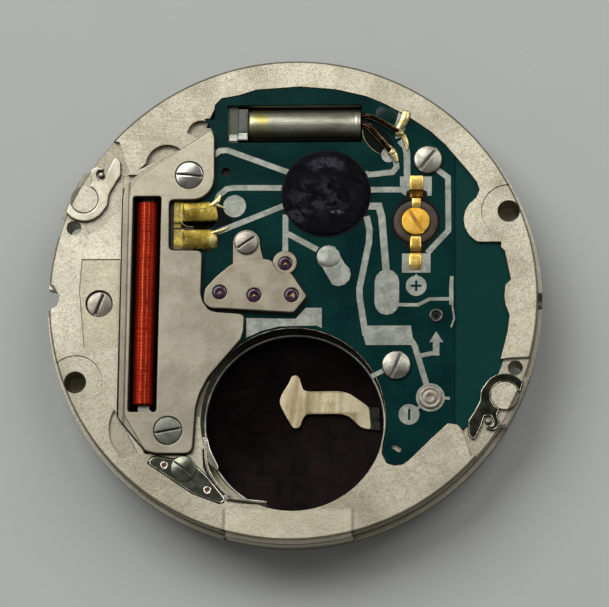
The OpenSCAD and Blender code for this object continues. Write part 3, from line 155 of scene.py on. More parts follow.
class Bench:
    """Builds one material; lengths on it are millimetres of Object coordinates."""

    def __init__(self, title: str) -> None:
        """Start an empty material called title.

        Args:
            title: the material's name.
        """
        self.material = bpy.data.materials.new(title)
        self.material.use_nodes = True
        self.tree = self.material.node_tree
        self.tree.nodes.clear()
        self.spots: dict[tuple, Sock] = {}

    def node(self, kind: str, settings: Optional[dict] = None, inputs: Optional[dict] = None,
             output: "int | str" = 0) -> Sock:
        """Add any node.

        Args:
            kind: the node's type.
            settings: its properties, set first.
            inputs: values or links of its sockets, by name or number.
            output: the output socket that is returned.
        Returns:
            The chosen output.
        """
        made = self.tree.nodes.new(kind)
        for key, value in (settings or {}).items():
            setattr(made, key, value)
        for key, value in (inputs or {}).items():
            target = made.inputs[key]
            if isinstance(value, Sock):
                self.tree.links.new(value.socket, target)
            else:
                target.default_value = (*value, 1.0) if target.type == "RGBA" else value
        return Sock(self, made.outputs[output])

    def spot(self, stretch: Triple = (1, 1, 1), turn: float = 0.0) -> Sock:
        """Object coordinates in millimetres.

        Args:
            stretch: factors on the three axes, after the turn.
            turn: turn about Z in degrees.
        Returns:
            The vector.
        """
        key = (stretch, turn)
        if key not in self.spots:
            raw = self.node("ShaderNodeTexCoord", output="Object")
            place = self.node("ShaderNodeMapping", {"vector_type": "POINT"},
                              {"Vector": raw, "Rotation": (0, 0, math.radians(turn)),
                               "Scale": (1 / MM, 1 / MM, 1 / MM)})
            if stretch != (1, 1, 1):
                place = self.node("ShaderNodeVectorMath", {"operation": "MULTIPLY"}, {0: place, 1: stretch})
            self.spots[key] = place
        return self.spots[key]

    def axes(self) -> list[Sock]:
        """The three coordinates in millimetres, apart."""
        parts = self.node("ShaderNodeSeparateXYZ", {}, {0: self.spot()})
        return [Sock(self, output) for output in parts.socket.node.outputs]

    def away(self, centre: Pair) -> Sock:
        """Distance in millimetres from an upright axis."""
        x, y, _ = self.axes()
        across, along = x - centre[0], y - centre[1]
        return (across * across + along * along) ** 0.5

    def box(self, low: Triple, high: Triple, soft: float = 0.03) -> Sock:
        """One inside the box between two corners in millimetres, falling off over soft."""
        x, y, z = self.axes()
        inside = x.between(low[0], high[0], soft) * y.between(low[1], high[1], soft)
        return inside * z.between(low[2], high[2], soft)

    def oval(self, centre: Pair, radii: Pair, soft: float = 0.4) -> Sock:
        """One inside an upright ellipse in the plane of X and Y, falling off over the share soft."""
        x, y, _ = self.axes()
        across, along = (x - centre[0]) / radii[0], (y - centre[1]) / radii[1]
        return 1 - (across * across + along * along).step(1 - soft, 1 + soft)

    def noise(self, per_mm: float, detail: float = 3.0, stretch: Triple = (1, 1, 1), turn: float = 0.0,
              rough: float = 0.55, bend: float = 0.0) -> Sock:
        """Cloudy noise 0 to 1, with so many cells to the millimetre, drawn out where stretch is low."""
        return self.node("ShaderNodeTexNoise", {},
                         {"Vector": self.spot(stretch, turn), "Scale": per_mm, "Detail": detail,
                          "Roughness": rough, "Distortion": bend}, "Fac")

    def cells(self, per_mm: float) -> Sock:
        """Distance to the nearest of so many scattered points to the millimetre."""
        return self.node("ShaderNodeTexVoronoi", {}, {"Vector": self.spot(), "Scale": per_mm}, "Distance")

    def blend(self, factor: "float | Sock", first: "Triple | Sock", second: "Triple | Sock") -> Sock:
        """Mix two colours, all first at factor 0 and all second at 1."""
        return self.node("ShaderNodeMix", {"data_type": "RGBA", "clamp_factor": True},
                         {0: factor, 6: first, 7: second}, 2)

    def layers(self, ground: Sock, *coats: tuple[Sock, Triple]) -> Sock:
        """Lay coats of colour over a ground.

        Args:
            ground: the lowest colour.
            coats: pairs of a mask, 0 to 1, and the colour that it lays on, in their order.
        Returns:
            The colour on top.
        """
        for mask, coat in coats:
            ground = self.blend(mask, ground, coat)
        return ground

    def relief(self, height: Sock, depth: float) -> Sock:
        """A normal from a height 0 to 1 that stands for so many millimetres."""
        return self.node("ShaderNodeBump", {}, {"Height": height, "Distance": depth * MM}, "Normal")

    def surface(self, colour: "Triple | Sock", rough: "float | Sock", metallic: float,
                normal: Optional[Sock] = None, **constants: Any) -> bpy.types.Material:
        """End the material with one shader.

        Args:
            colour: base colour.
            rough: roughness.
            metallic: 0 or 1.
            normal: relief, if there is one.
            constants: values set directly on further sockets, spaces written as underscores.
        Returns:
            The finished material.
        """
        inputs = {"Base Color": colour, "Roughness": rough, "Metallic": metallic}
        if normal is not None:
            inputs["Normal"] = normal
        inputs.update({k.replace("_", " "): v for k, v in constants.items()})
        shader = self.node("ShaderNodeBsdfPrincipled", {}, inputs, "BSDF")
        self.node_output(shader)
        return self.material

    def node_output(self, shader: Sock) -> None:
        """Link the shader to the material's output."""
        out = self.tree.nodes.new("ShaderNodeOutputMaterial")
        self.tree.links.new(shader.socket, out.inputs["Surface"])


@dataclass(frozen=True)
class Finish:
    """What every finish has: a name, a material slot, and one material made once."""

    title: str
    slot: str

    def material(self) -> bpy.types.Material:
        """The finish's material, built on first use."""
        return bpy.data.materials.get(self.title) or self.build(Bench(self.title))

    def build(self, bench: Bench) -> bpy.types.Material:
        """Build the material on the bench; each kind of finish does this its own way."""
        raise NotImplementedError


@dataclass(frozen=True)
class Metal(Finish):
    """Plated or bare metal with clouds, grain, tool lines and stains."""

    light: Triple = (0.8, 0.8, 0.8)
    dark: Triple = (0.7, 0.7, 0.7)
    rough: Pair = (0.3, 0.4)
    grain: Grain = Grain.SATIN
    cloud_per_mm: float = 0.5
    grain_per_mm: float = 12.0
    depth: float = 0.004
    lines_at: float = 0.0
    stain: Triple = (0.35, 0.28, 0.18)
    stain_share: float = 0.15

    def build(self, bench: Bench) -> bpy.types.Material:
        """Clouds mix the two colours, grain and lines give relief, stains dull the low places.

        Args:
            bench: where the material is made.
        Returns:
            The material.
        """
        cloud = bench.noise(self.cloud_per_mm, 5.0, rough=0.6)
        grain = bench.noise(self.grain_per_mm, 3.0, rough=0.7)
        specks = 1 - bench.cells(self.grain_per_mm * 0.35).step(0.05, 0.32)
        lines = bench.noise(self.grain_per_mm * 0.5, 4.0, (0.06, 2.6, 1.0), self.lines_at, 0.7)
        frost, brush = self.grain.value
        height = grain * frost + lines * brush
        dirt = bench.noise(self.cloud_per_mm * 2.3, 6.0, rough=0.7, bend=0.4).step(0.52, 0.78)
        colour = bench.layers(
            bench.blend(cloud.step(0.35, 0.65), self.light, self.dark),
            (grain.step(0.3, 0.75) * 0.3 * frost, tuple(0.55 * c for c in self.dark)),
            (dirt * self.stain_share, self.stain),
            (specks * 0.18 * frost, self.stain))
        low, high = self.rough
        rough = low + (high - low) * cloud + grain * 0.06 + dirt * 0.08 + lines * 0.05 * brush
        return bench.surface(colour, rough, 1.0, bench.relief(height, self.depth))


@dataclass(frozen=True)
class PlateNickel(Metal):
    """The base plate's frosted nickel, with its worn, brushed and pale places, and painted shade and light
    on its low places and rims.
    """

    def build(self, bench: Bench) -> bpy.types.Material:
        """As Metal, with brushing at the upper left, painted shade on low faces and dark lines of painted
        shade round its rims.

        The masks are places: the upper left; the lower half, darkened as painted shade; the sector cut off
        at the foot with its raised pad, whose sides and the recessed floor beside it are darkened as painted
        shade; the left edge and a rubbed field in it; the coil's bay, a round hole and the crystal's slot,
        darkened as painted shade; the far wall of the battery well, painted as shadow; and rings round the
        plate's axis from rim to ledge, painted shade on the rim, its wall and its foot, and painted light on
        the ledge.

        Args:
            bench: where the material is made.
        Returns:
            The material.
        """
        x, y, z = bench.axes()
        cloud = bench.noise(0.32, 6.0, rough=0.62)
        mottle = bench.noise(2.6, 4.0, rough=0.65)
        grain = bench.noise(8.0, 4.0, rough=0.8)
        fine = bench.noise(20.0, 2.0, rough=0.6)
        lines = bench.noise(10.0, 4.0, (0.035, 2.0, 1.0), 4.0, 0.7)
        dirt = bench.noise(0.9, 6.0, rough=0.75, bend=0.6).step(0.55, 0.8)
        high, radius = z.step(1.9, 2.0), bench.away((0.0, 0.0))
        upper_left = (1 - x.step(-6.0, -1.5)) * y.step(4.5, 7.0)
        # Painted shade: lower darkens the lower half of the plate.
        lower = (1 - y.step(-6.0, 1.0)) * (1 - x.step(3.0, 8.0) * 0.7)
        sector = 1 - y.step(-11.3, -11.1)
        pad = x.between(-3.28, 3.2, 0.05) * sector * high
        # Painted shade along the pad's two sides, and on the recessed floor beside the pad (recess).
        pad_side_shade = (x.between(-3.44, -3.3, 0.05) + x.between(3.22, 3.34, 0.05)) * sector * high
        recess = (1 - high) * radius.between(12.0, 12.71, 0.04) * z.step(0.6, 0.8) * sector
        left = (1 - x.step(-9.6, -8.6)) * y.between(-3.5, 7.0, 1.2)
        patch = x.between(-11.1, -9.08, 0.04) * y.between(-2.75, 2.03, 0.04)
        # Painted shade: the coil's bay, the round hole and the crystal's slot are darkened.
        bay = bench.box((-8.78, -6.45, -1.0), (-6.62, 5.6, 2.0), 0.02)
        hole = bench.box((-4.05, 6.2, -1.0), (-3.1, 7.25, 1.9))
        slot = bench.box((-3.7, 8.3, 0.2), (-2.3, 10.5, 1.79))
        # Painted shadow on the battery well's far wall.
        well = bench.away((0.13, -6.5)).between(4.74, 4.92, 0.03) * z.between(0.5, 1.98, 0.02)
        well_wall_shadow = well * (x + y).step(-7.97, -4.97)
        # Painted shade round the rims: rim on the top edge, wall in bands on the side, foot low down, and
        # shade on all low faces. Painted light: ledge.
        rim = radius.step(12.68, 12.73) * high
        wall = z.between(1.8, 1.97, 0.03) * 0.6 + z.between(0.71, 0.86, 0.03) * 0.7
        wall = wall * radius.step(12.74, 12.78)
        foot = (1 - z.step(0.4, 0.66)) * radius.step(12.5, 12.7)
        ledge = radius.step(12.82, 12.88) * z.step(0.6, 0.68)
        shade = (1 - high) * (1 - ledge)
        colour = bench.layers(
            bench.blend(cloud.step(0.38, 0.64), self.light, self.dark),
            (left * 0.3, lin(236, 230, 212)),
            (mottle.step(0.5, 0.66) * 0.3, lin(158, 144, 102)),
            (grain.step(0.44, 0.66) * 0.52, lin(112, 104, 86)),
            (fine.step(0.5, 0.66) * 0.34, lin(236, 232, 216)),
            (upper_left * lines.step(0.42, 0.62) * 0.3, lin(116, 104, 88)),
            (shade * 0.3, lin(112, 104, 90)),
            (lower * 0.3, lin(112, 106, 88)),
            (patch * 0.36, lin(150, 142, 110)),
            (pad * 0.22, lin(228, 220, 194)),
            (pad_side_shade * 0.45, lin(84, 76, 58)),
            (ledge * 0.3, lin(236, 230, 212)),
            (dirt * 0.3, lin(104, 94, 70)),
            (rim * 0.8 + foot * 0.55 + wall, lin(46, 40, 32)),
            (recess * 0.6, lin(70, 64, 54)),
            (well_wall_shadow * 0.86, lin(12, 10, 8)),
            (slot * 0.9, lin(66, 72, 64)),
            ((bay + hole) * 0.96, lin(14, 11, 10)))
        height = grain * 0.8 + fine * 0.35 + upper_left * lines * 0.35 + mottle * 0.5
        rough = 0.38 + cloud * 0.1 + grain * 0.12
        return bench.surface(colour, rough, 1.0, bench.relief(height, 0.018))


@dataclass(frozen=True)
class CoverNickel(Metal):
    """The cover's satin nickel: yellowish mottles, painted shade along the foot of its step, and painted
    light towards +Y.
    """

    def build(self, bench: Bench) -> bpy.types.Material:
        """Clouds and mottles mix three greys; fine grain dulls them; the low left strip is darker; painted
        shade darkens the foot of its step and the side walls, and painted light brightens the cover towards
        +Y.

        Args:
            bench: where the material is made.
        Returns:
            The material.
        """
        x, y, z = bench.axes()
        cloud = bench.noise(0.5, 5.0, rough=0.6)
        mottle = bench.noise(1.9, 5.0, rough=0.7, bend=0.3)
        grain = bench.noise(9.0, 4.0, rough=0.8)
        fine = bench.noise(22.0, 2.0)
        # Painted shade: crease, a dark line at the foot of the step, and wall, the cover's side walls.
        low = 1 - z.step(2.27, 2.31)
        crease = low * x.between(-8.72, -8.6, 0.02)
        wall = 1 - z.step(2.12, 2.2)
        colour = bench.layers(
            bench.blend(cloud.step(0.36, 0.66), self.light, self.dark),
            # Painted light: lighter towards +Y.
            (y.step(1.5, 7.5) * 0.34, lin(206, 198, 172)),
            (mottle.step(0.48, 0.7) * 0.34, lin(142, 134, 104)),
            (grain.step(0.42, 0.76) * 0.36, lin(96, 92, 80)),
            (fine.step(0.55, 0.75) * 0.16, lin(214, 208, 192)),
            (low * 0.16 + crease * 0.5, lin(58, 52, 42)),
            (wall * 0.45, lin(42, 38, 30)))
        rough = 0.4 + cloud * 0.08 + grain * 0.1
        return bench.surface(colour, rough, 1.0, bench.relief(grain * 0.8 + fine * 0.3 + mottle, 0.007))


@dataclass(frozen=True)
class TabGilt(Metal):
    """The coil's soft gilt tabs: olive where they curve away and black where the upper one folds under, both
    painted shade.
    """

    def build(self, bench: Bench) -> bpy.types.Material:
        """Blotches mix olive and gold; painted shade darkens the tabs' middles and the fold between them;
        pale speckles and a painted highlight at the lower tab's end lighten them.

        Args:
            bench: where the material is made.
        Returns:
            The material.
        """
        x, y, _ = bench.axes()
        blotch = bench.noise(2.4, 5.0, rough=0.7, bend=0.5)
        grain = bench.noise(10.0, 3.0, rough=0.7)
        # Painted shade: the fold under the upper tab (under, shadow) and the middles of both tabs (centre).
        under = y.between(3.66, 4.1, 0.1) * x.step(-6.05, -5.75)
        shadow = y.between(3.66, 4.02, 0.05)
        centre = bench.oval((-5.25, 4.38), (0.75, 0.3), 0.7) + bench.oval((-5.35, 3.18), (0.5, 0.26), 0.7)
        # Pale speckles on the left, and a painted highlight at the lower tab's right end.
        pale_and_highlight = blotch.step(0.5, 0.66) * (1 - x.step(-5.95, -5.7))
        pale_and_highlight = pale_and_highlight + bench.oval((-4.22, 2.98), (0.18, 0.34), 0.6)
        colour = bench.layers(
            bench.blend(blotch.step(0.36, 0.64), self.light, self.dark),
            (centre * 0.55, lin(74, 60, 20)),
            (pale_and_highlight * 0.55, lin(206, 196, 140)),
            (grain.step(0.5, 0.8) * 0.25, self.stain),
            (under * 0.9 + shadow * 0.35, lin(12, 9, 4)))
        rough = 0.26 + blotch * 0.2 + grain * 0.06
        return bench.surface(colour, rough, 1.0, bench.relief(blotch * 1.2 + grain * 0.3, 0.014))


@dataclass(frozen=True)
class Laminate(Finish):
    """Dark green board under a thin lacquer, with the weave faintly telegraphed."""

    def build(self, bench: Bench) -> bpy.types.Material:
        """Two greens in clouds; a fine weave of crossed lines and dust give the relief.

        Args:
            bench: where the material is made.
        Returns:
            The material.
        """
        x, _, _ = bench.axes()
        cloud = bench.noise(0.45, 4.0)
        weave = (bench.noise(7.0, 1.0, (0.12, 2.2, 1.0)) + bench.noise(7.0, 1.0, (2.2, 0.12, 1.0))) * 0.5
        dust = bench.noise(14.0, 3.0, rough=0.8).step(0.66, 0.8)
        right = x.step(8.3, 8.6)
        colour = bench.layers(
            bench.blend(cloud.step(0.35, 0.68), lin(1, 34, 34), lin(5, 46, 43)),
            (weave.step(0.5, 0.7) * 0.35, lin(10, 62, 56)),
            (right * 0.75, lin(9, 56, 51)),
            (dust * 0.12, lin(110, 130, 120)))
        rough = 0.14 + cloud * 0.08 + right * 0.08
        normal = bench.relief(weave * 0.6 + cloud * 1.6 + dust * 0.2, 0.01)
        return bench.surface(colour, rough, 0.0, normal, Specular_IOR_Level=0.1)


@dataclass(frozen=True)
class Resin(Finish):
    """Black potting resin over the chip."""

    def build(self, bench: Bench) -> bpy.types.Material:
        """Blue-black and wrinkled, with pale patches that are partly dust and partly painted sheen, in a
        crescent, a patch and the middle, and one painted glint.

        Args:
            bench: where the material is made.
        Returns:
            The material.
        """
        wrinkle = bench.noise(1.1, 7.0, (1.0, 1.4, 1.0), 20, 0.68, 0.5)
        fine = bench.noise(5.0, 5.0, rough=0.7, bend=0.8)
        # Pale patches on the wrinkles, partly dust and partly painted sheen: a crescent at the top, a patch
        # at the lower left and the middle.
        crescent = bench.oval((1.74, 7.0), (0.92, 0.46), 0.4)
        crescent = crescent * (1 - bench.oval((1.86, 6.66), (0.62, 0.26), 0.5))
        sheen_and_dust = crescent + bench.oval((0.25, 4.3), (0.62, 0.34), 0.6) * 0.9
        sheen_and_dust = sheen_and_dust * wrinkle.step(0.38, 0.5)
        sheen_and_dust = sheen_and_dust + bench.oval((1.45, 5.35), (1.55, 0.95), 0.8) * wrinkle.step(0.46, 0.58) * 0.7
        # A painted glint at the lower right.
        glint = bench.oval((2.34, 4.46), (0.3, 0.09), 0.9) * fine.step(0.42, 0.62)
        colour = bench.layers(
            bench.blend(wrinkle.step(0.42, 0.62), lin(1, 1, 4), lin(12, 13, 21)),
            (sheen_and_dust * fine.step(0.3, 0.6) * 0.8, lin(66, 64, 76)),
            (glint * 0.7, lin(150, 152, 156)))
        rough = 0.1 + sheen_and_dust * 0.2 + fine * 0.12
        return bench.surface(colour, rough, 0.0, bench.relief(wrinkle * 2.0 + fine * 0.9, 0.1),
                             Specular_IOR_Level=0.085)


@dataclass(frozen=True)
class Winding(Finish):
    """Lacquered copper wire, deep red with paler turns and dark gaps."""

    turns_per_mm: float = 13.0
    axis_x: float = -7.75

    def build(self, bench: Bench) -> bpy.types.Material:
        """Thin bands vary from turn to turn, gaps are darker, two painted highlight streaks run along the
        top, and painted light brightens the sides.

        Args:
            bench: where the material is made.
        Returns:
            The material.
        """
        x, _, z = bench.axes()
        bands = bench.noise(self.turns_per_mm, 1.0, (0.08, 1.0, 0.08))
        slow = bench.noise(0.8, 3.0, (0.4, 1.0, 0.4))
        nicks = bench.noise(5.0, 4.0, (2.0, 0.7, 1.0), rough=0.7).step(0.6, 0.74)
        sway = bench.noise(0.7, 2.0, (0.1, 1.0, 0.1)) * 0.12 - 0.06
        u = x - self.axis_x + sway
        # Painted highlights: two pale streaks along the top. Painted light: the (u * u) layer brightens the
        # coil's sides.
        highlight_streak = (u.between(-0.145, -0.1, 0.03) + u.between(0.11, 0.15, 0.03)) * z.step(1.8, 1.92)
        highlight_streak = highlight_streak * bench.noise(3.5, 4.0, (1.0, 0.6, 1.0), rough=0.7).step(0.3, 0.58)
        colour = bench.layers(
            bench.blend(bands.step(0.3, 0.7), lin(110, 14, 5), lin(146, 30, 9)),
            (slow.step(0.35, 0.65) * 0.45, lin(92, 12, 5)),
            ((u * u).step(0.05, 0.24) * 0.7, lin(206, 58, 24)),
            (nicks * 0.22, lin(206, 92, 40)),
            (highlight_streak * 0.62, lin(226, 122, 66)))
        rough = 0.36 + bands * 0.1 + nicks * 0.1
        return bench.surface(colour, rough, 0.8, bench.relief(bands, 0.002), Specular_IOR_Level=0.2)


@dataclass(frozen=True)
class StainedCan(Metal):
    """Drawn tin-plated can, yellowed at its closed end."""

    def build(self, bench: Bench) -> bpy.types.Material:
        """Greenish grey metal, drawn lines along the can, a yellow band at the closed end, and painted shade
        along its lower side.

        Args:
            bench: where the material is made.
        Returns:
            The material.
        """
        x, y, _ = bench.axes()
        cloud = bench.noise(1.2, 5.0, (0.6, 1.4, 1.0))
        lines = bench.noise(9.0, 3.0, (0.08, 2.4, 2.4))
        grain = bench.noise(14.0, 3.0, rough=0.7)
        yellow = x.between(-2.28, -1.35, 0.28) * bench.noise(2.0, 4.0).step(0.3, 0.62)
        colour = bench.layers(
            bench.blend(cloud.step(0.32, 0.66), lin(180, 180, 164), lin(140, 140, 124)),
            (lines.step(0.45, 0.7) * 0.35, lin(112, 112, 98)),
            (yellow * 0.8, lin(186, 172, 72)),
            (grain.step(0.55, 0.8) * 0.3, lin(90, 88, 74)),
            # Painted shade: the can's lower side is darkened.
            ((1 - y.step(8.72, 9.12)) * 0.85, lin(20, 26, 18)))
        rough = 0.26 + cloud * 0.12 + grain * 0.06
        return bench.surface(colour, rough, 1.0, bench.relief(lines * 0.7 + grain * 0.5 + cloud, 0.008))


@dataclass(frozen=True)
class Film(Finish):
    """Dark insulating sheet in the battery well, browner in its lower half."""

    def build(self, bench: Bench) -> bpy.types.Material:
        """Near-black maroon, browner low on the right, with faint rubbed marks.

        Args:
            bench: where the material is made.
        Returns:
            The material.
        """
        x, y, _ = bench.axes()
        cloud = bench.noise(0.55, 5.0, rough=0.65, bend=0.5)
        rub = bench.noise(3.0, 5.0, (0.5, 2.0, 1.0), 28, 0.7).step(0.54, 0.74)
        lower = 1 - (y - x * 0.45).step(-9.6, -5.2)
        colour = bench.layers(
            bench.blend(cloud.step(0.35, 0.7), lin(3, 1, 1), lin(13, 4, 3)),
            (lower * cloud.step(0.3, 0.6) * 0.6, lin(30, 17, 18)),
            (rub * lower * 0.16, lin(44, 34, 32)))
        rough = 0.16 + cloud * 0.12 + lower * 0.2
        return bench.surface(colour, rough, 0.0, bench.relief(cloud * 1.5 + rub * 0.1, 0.02),
                             Specular_IOR_Level=0.06)


@dataclass(frozen=True)
class Stone(Finish):
    """Synthetic ruby of a bearing, dark wine red with a polished skin."""

    def build(self, bench: Bench) -> bpy.types.Material:
        """Wine red that lightens in small clouds under a clear coat.

        Args:
            bench: where the material is made.
        Returns:
            The material.
        """
        cloud = bench.noise(4.0, 3.0)
        scuff = bench.noise(16.0, 3.0, rough=0.7).step(0.6, 0.8)
        colour = bench.layers(
            bench.blend(cloud.step(0.3, 0.7), lin(36, 14, 30), lin(70, 34, 58)),
            (scuff * 0.2, lin(130, 90, 104)))
        return bench.surface(colour, 0.18 + scuff * 0.2, 0.0, bench.relief(scuff, 0.002),
                             Specular_IOR_Level=0.4, Coat_Weight=0.2, Coat_Roughness=0.1)


@dataclass(frozen=True)
class Enamel(Finish):
    """Paint, print or ceramic: a plain body colour with clouds, specks and a fine skin."""

    light: Triple = (0.8, 0.8, 0.8)
    dark: Triple = (0.7, 0.7, 0.7)
    rough: Pair = (0.4, 0.5)
    gloss: float = 0.4
    per_mm: float = 6.0

    def build(self, bench: Bench) -> bpy.types.Material:
        """Two tones in clouds, specks of dust and an orange-peel skin.

        Args:
            bench: where the material is made.
        Returns:
            The material.
        """
        cloud = bench.noise(self.per_mm * 0.2, 4.0)
        skin = bench.noise(self.per_mm, 3.0, rough=0.6)
        dust = bench.noise(self.per_mm * 2.5, 3.0, rough=0.8).step(0.66, 0.82)
        colour = bench.layers(
            bench.blend(cloud.step(0.3, 0.7), self.light, self.dark),
            (dust * 0.25, tuple(0.6 * c for c in self.dark)))
        rough = self.rough[0] + (self.rough[1] - self.rough[0]) * cloud + dust * 0.1
        return bench.surface(colour, rough, 0.0, bench.relief(skin, 0.006), Specular_IOR_Level=self.gloss)


@dataclass(frozen=True)
class StampedStrip(Metal):
    """The pale contact strip, with painted shade at its creases and edges, and darker along its rolled
    grain.
    """

    def build(self, bench: Bench) -> bpy.types.Material:
        """Bands across the strip, a creased head and clouds mix cream with brown; painted shade darkens its
        edges and creases.

        Args:
            bench: where the material is made.
        Returns:
            The material.
        """
        x, y, _ = bench.axes()
        bands = bench.noise(1.1, 3.0, (1.0, 0.1, 1.0), 8, 0.6)
        cloud = bench.noise(1.8, 5.0, rough=0.65)
        grain = bench.noise(11.0, 3.0, (0.5, 1.6, 1.0), rough=0.7)
        # Painted shade: darker along the strip's lower and upper edges (edge) and at two creases (crease).
        edge = (1 - y.step(-5.98, -5.84)) * x.between(0.7, 3.4, 0.1)
        edge = edge + y.step(-4.95, -4.84) * x.step(0.8, 1.0)
        crease = x.between(2.42, 2.64, 0.1) + x.between(0.66, 0.9, 0.08) * 0.8
        head = bench.oval((0.1, -5.35), (0.46, 0.95), 0.6)
        colour = bench.layers(
            bench.blend(bands.step(0.42, 0.62), self.light, self.dark),
            (cloud.step(0.5, 0.75) * 0.45, self.stain),
            (head * 0.35, lin(148, 122, 96)),
            (grain.step(0.5, 0.8) * 0.25, self.stain),
            (edge * 0.45 + crease * 0.3, lin(96, 76, 44)))
        rough = 0.38 + cloud * 0.12 + grain * 0.05
        return bench.surface(colour, rough, 1.0, bench.relief(bands * 1.2 + cloud + grain * 0.4, 0.014))


@dataclass(frozen=True)
class Tinned(Metal):
    """Dull tinned copper of tracks and pads, mottled and slightly uneven."""

    def build(self, bench: Bench) -> bpy.types.Material:
        """Mottles mix three greys; shallow dents and specks break the shine.

        Args:
            bench: where the material is made.
        Returns:
            The material.
        """
        mottle = bench.noise(1.6, 6.0, rough=0.7, bend=0.4)
        blotch = bench.noise(4.5, 4.0, rough=0.6)
        grain = bench.noise(15.0, 3.0, rough=0.7)
        colour = bench.layers(
            bench.blend(mottle.step(0.34, 0.66), self.light, self.dark),
            (blotch.step(0.52, 0.72) * 0.4, lin(106, 110, 102)),
            (grain.step(0.5, 0.8) * 0.3, lin(80, 84, 76)))
        rough = 0.36 + mottle * 0.16 + grain * 0.06
        return bench.surface(colour, rough, 0.85, bench.relief(blotch + grain * 0.4, 0.01))


NICKEL_PLATE = PlateNickel("nickel_plate", "nickel", light=lin(190, 184, 164), dark=lin(161, 154, 135))
NICKEL_COVER = CoverNickel(
    "nickel_cover", "cover_nickel", light=lin(156, 150, 134), dark=lin(136, 130, 114))
NICKEL_BRIDGE = Metal(
    "nickel_bridge", "cover_nickel", lin(152, 145, 127), lin(132, 125, 108), (0.36, 0.44), Grain.SATIN, 0.9,
    12.0, 0.005, 60.0, lin(108, 98, 78), 0.28)
NICKEL_LOCK = Metal(
    "nickel_lock", "cover_nickel", lin(196, 191, 172), lin(164, 158, 138), (0.28, 0.38), Grain.POLISHED,
    1.0, 10.0, 0.002, 30.0, lin(110, 98, 74), 0.25)
NICKEL_SLOT = Metal(
    "nickel_slot", "nickel", lin(186, 186, 174), lin(140, 142, 132), (0.3, 0.42), Grain.BRUSHED, 1.2, 10.0,
    0.006, 88.0, lin(84, 84, 74), 0.3)
NICKEL_SHADE = Metal(
    "nickel_shade", "nickel", lin(88, 92, 82), lin(60, 64, 56), (0.36, 0.46), Grain.SATIN, 1.6, 10.0, 0.006,
    88.0, lin(52, 52, 44), 0.35)
STEEL_SCREW = Metal(
    "steel_screw", "steel", lin(164, 161, 150), lin(124, 120, 110), (0.24, 0.34), Grain.BRUSHED, 1.8, 12.0,
    0.005, 62.0, lin(72, 68, 58), 0.4)
STEEL_FLAT_SCREW = Metal(
    "steel_flat_screw", "steel", lin(178, 175, 168), lin(140, 137, 130), (0.1, 0.18), Grain.POLISHED, 1.4,
    12.0, 0.004, 75.0, lin(76, 73, 66), 0.34)
STEEL_GREY_SCREW = Metal(
    "steel_grey_screw", "steel", lin(132, 134, 124), lin(98, 100, 92), (0.22, 0.32), Grain.BRUSHED, 1.4,
    12.0, 0.005, 20.0, lin(60, 60, 52), 0.4)
STEEL_DULL_SCREW = Metal(
    "steel_dull_screw", "steel", lin(162, 156, 144), lin(126, 119, 108), (0.3, 0.38), Grain.SATIN, 1.8,
    12.0, 0.005, 35.0, lin(76, 68, 58), 0.42)
STEEL_MIRROR = Metal(
    "steel_mirror", "dark_steel", lin(124, 128, 112), lin(70, 74, 64), (0.12, 0.22), Grain.POLISHED, 1.5,
    9.0, 0.01, 40.0, lin(40, 40, 32), 0.4)
STEEL_LOCK = Metal(
    "steel_lock", "dark_steel", lin(92, 94, 80), lin(44, 46, 38), (0.1, 0.2), Grain.POLISHED, 1.8, 9.0,
    0.01, 30.0, lin(26, 26, 20), 0.4)
# Bright spring steel, and painted highlights along the edges of the claws and the clamp.
SPRING_STEEL_AND_HIGHLIGHT = Metal(
    "spring_steel_and_highlight", "steel", lin(214, 210, 192), lin(150, 144, 124), (0.14, 0.24), Grain.POLISHED, 1.6,
    12.0, 0.004, 60.0, lin(76, 70, 52), 0.35)
STEEL_SPRING = Metal(
    "steel_spring", "steel", lin(176, 176, 174), lin(140, 140, 138), (0.22, 0.32), Grain.BRUSHED, 0.9, 12.0,
    0.004, 0.0, lin(88, 84, 78), 0.25)
GILT_DISC = Metal(
    "gilt_disc", "gilt", lin(222, 180, 80), lin(196, 142, 44), (0.26, 0.36), Grain.BRUSHED, 1.6, 12.0,
    0.004, -60.0, lin(140, 92, 24), 0.3)
GILT_STRIP = Metal(
    "gilt_strip", "gilt", lin(222, 194, 116), lin(176, 140, 58), (0.2, 0.32), Grain.SATIN, 2.2, 12.0,
    0.008, 88.0, lin(112, 80, 28), 0.4)
# Gilt painted darker as shade on the steep slopes of the trimmer's strips.
GILT_SLOPE_SHADE = Metal(
    "gilt_slope_shade", "gilt", lin(112, 76, 22), lin(58, 36, 8), (0.26, 0.38), Grain.SATIN, 2.4, 12.0, 0.008,
    88.0, lin(30, 18, 5), 0.4)
GILT_TAB = TabGilt(
    "gilt_tab", "gilt", light=lin(158, 140, 68), dark=lin(112, 94, 34), stain=lin(66, 54, 18))
# Gilt wire painted dark as shade; its lit sides are separate painted highlights.
SHADED_GILT_LEAD = Metal(
    "shaded_gilt_lead", "gilt", lin(58, 38, 24), lin(16, 9, 7), (0.1, 0.18), Grain.POLISHED, 3.0, 12.0, 0.004,
    30.0, lin(14, 8, 5), 0.6)
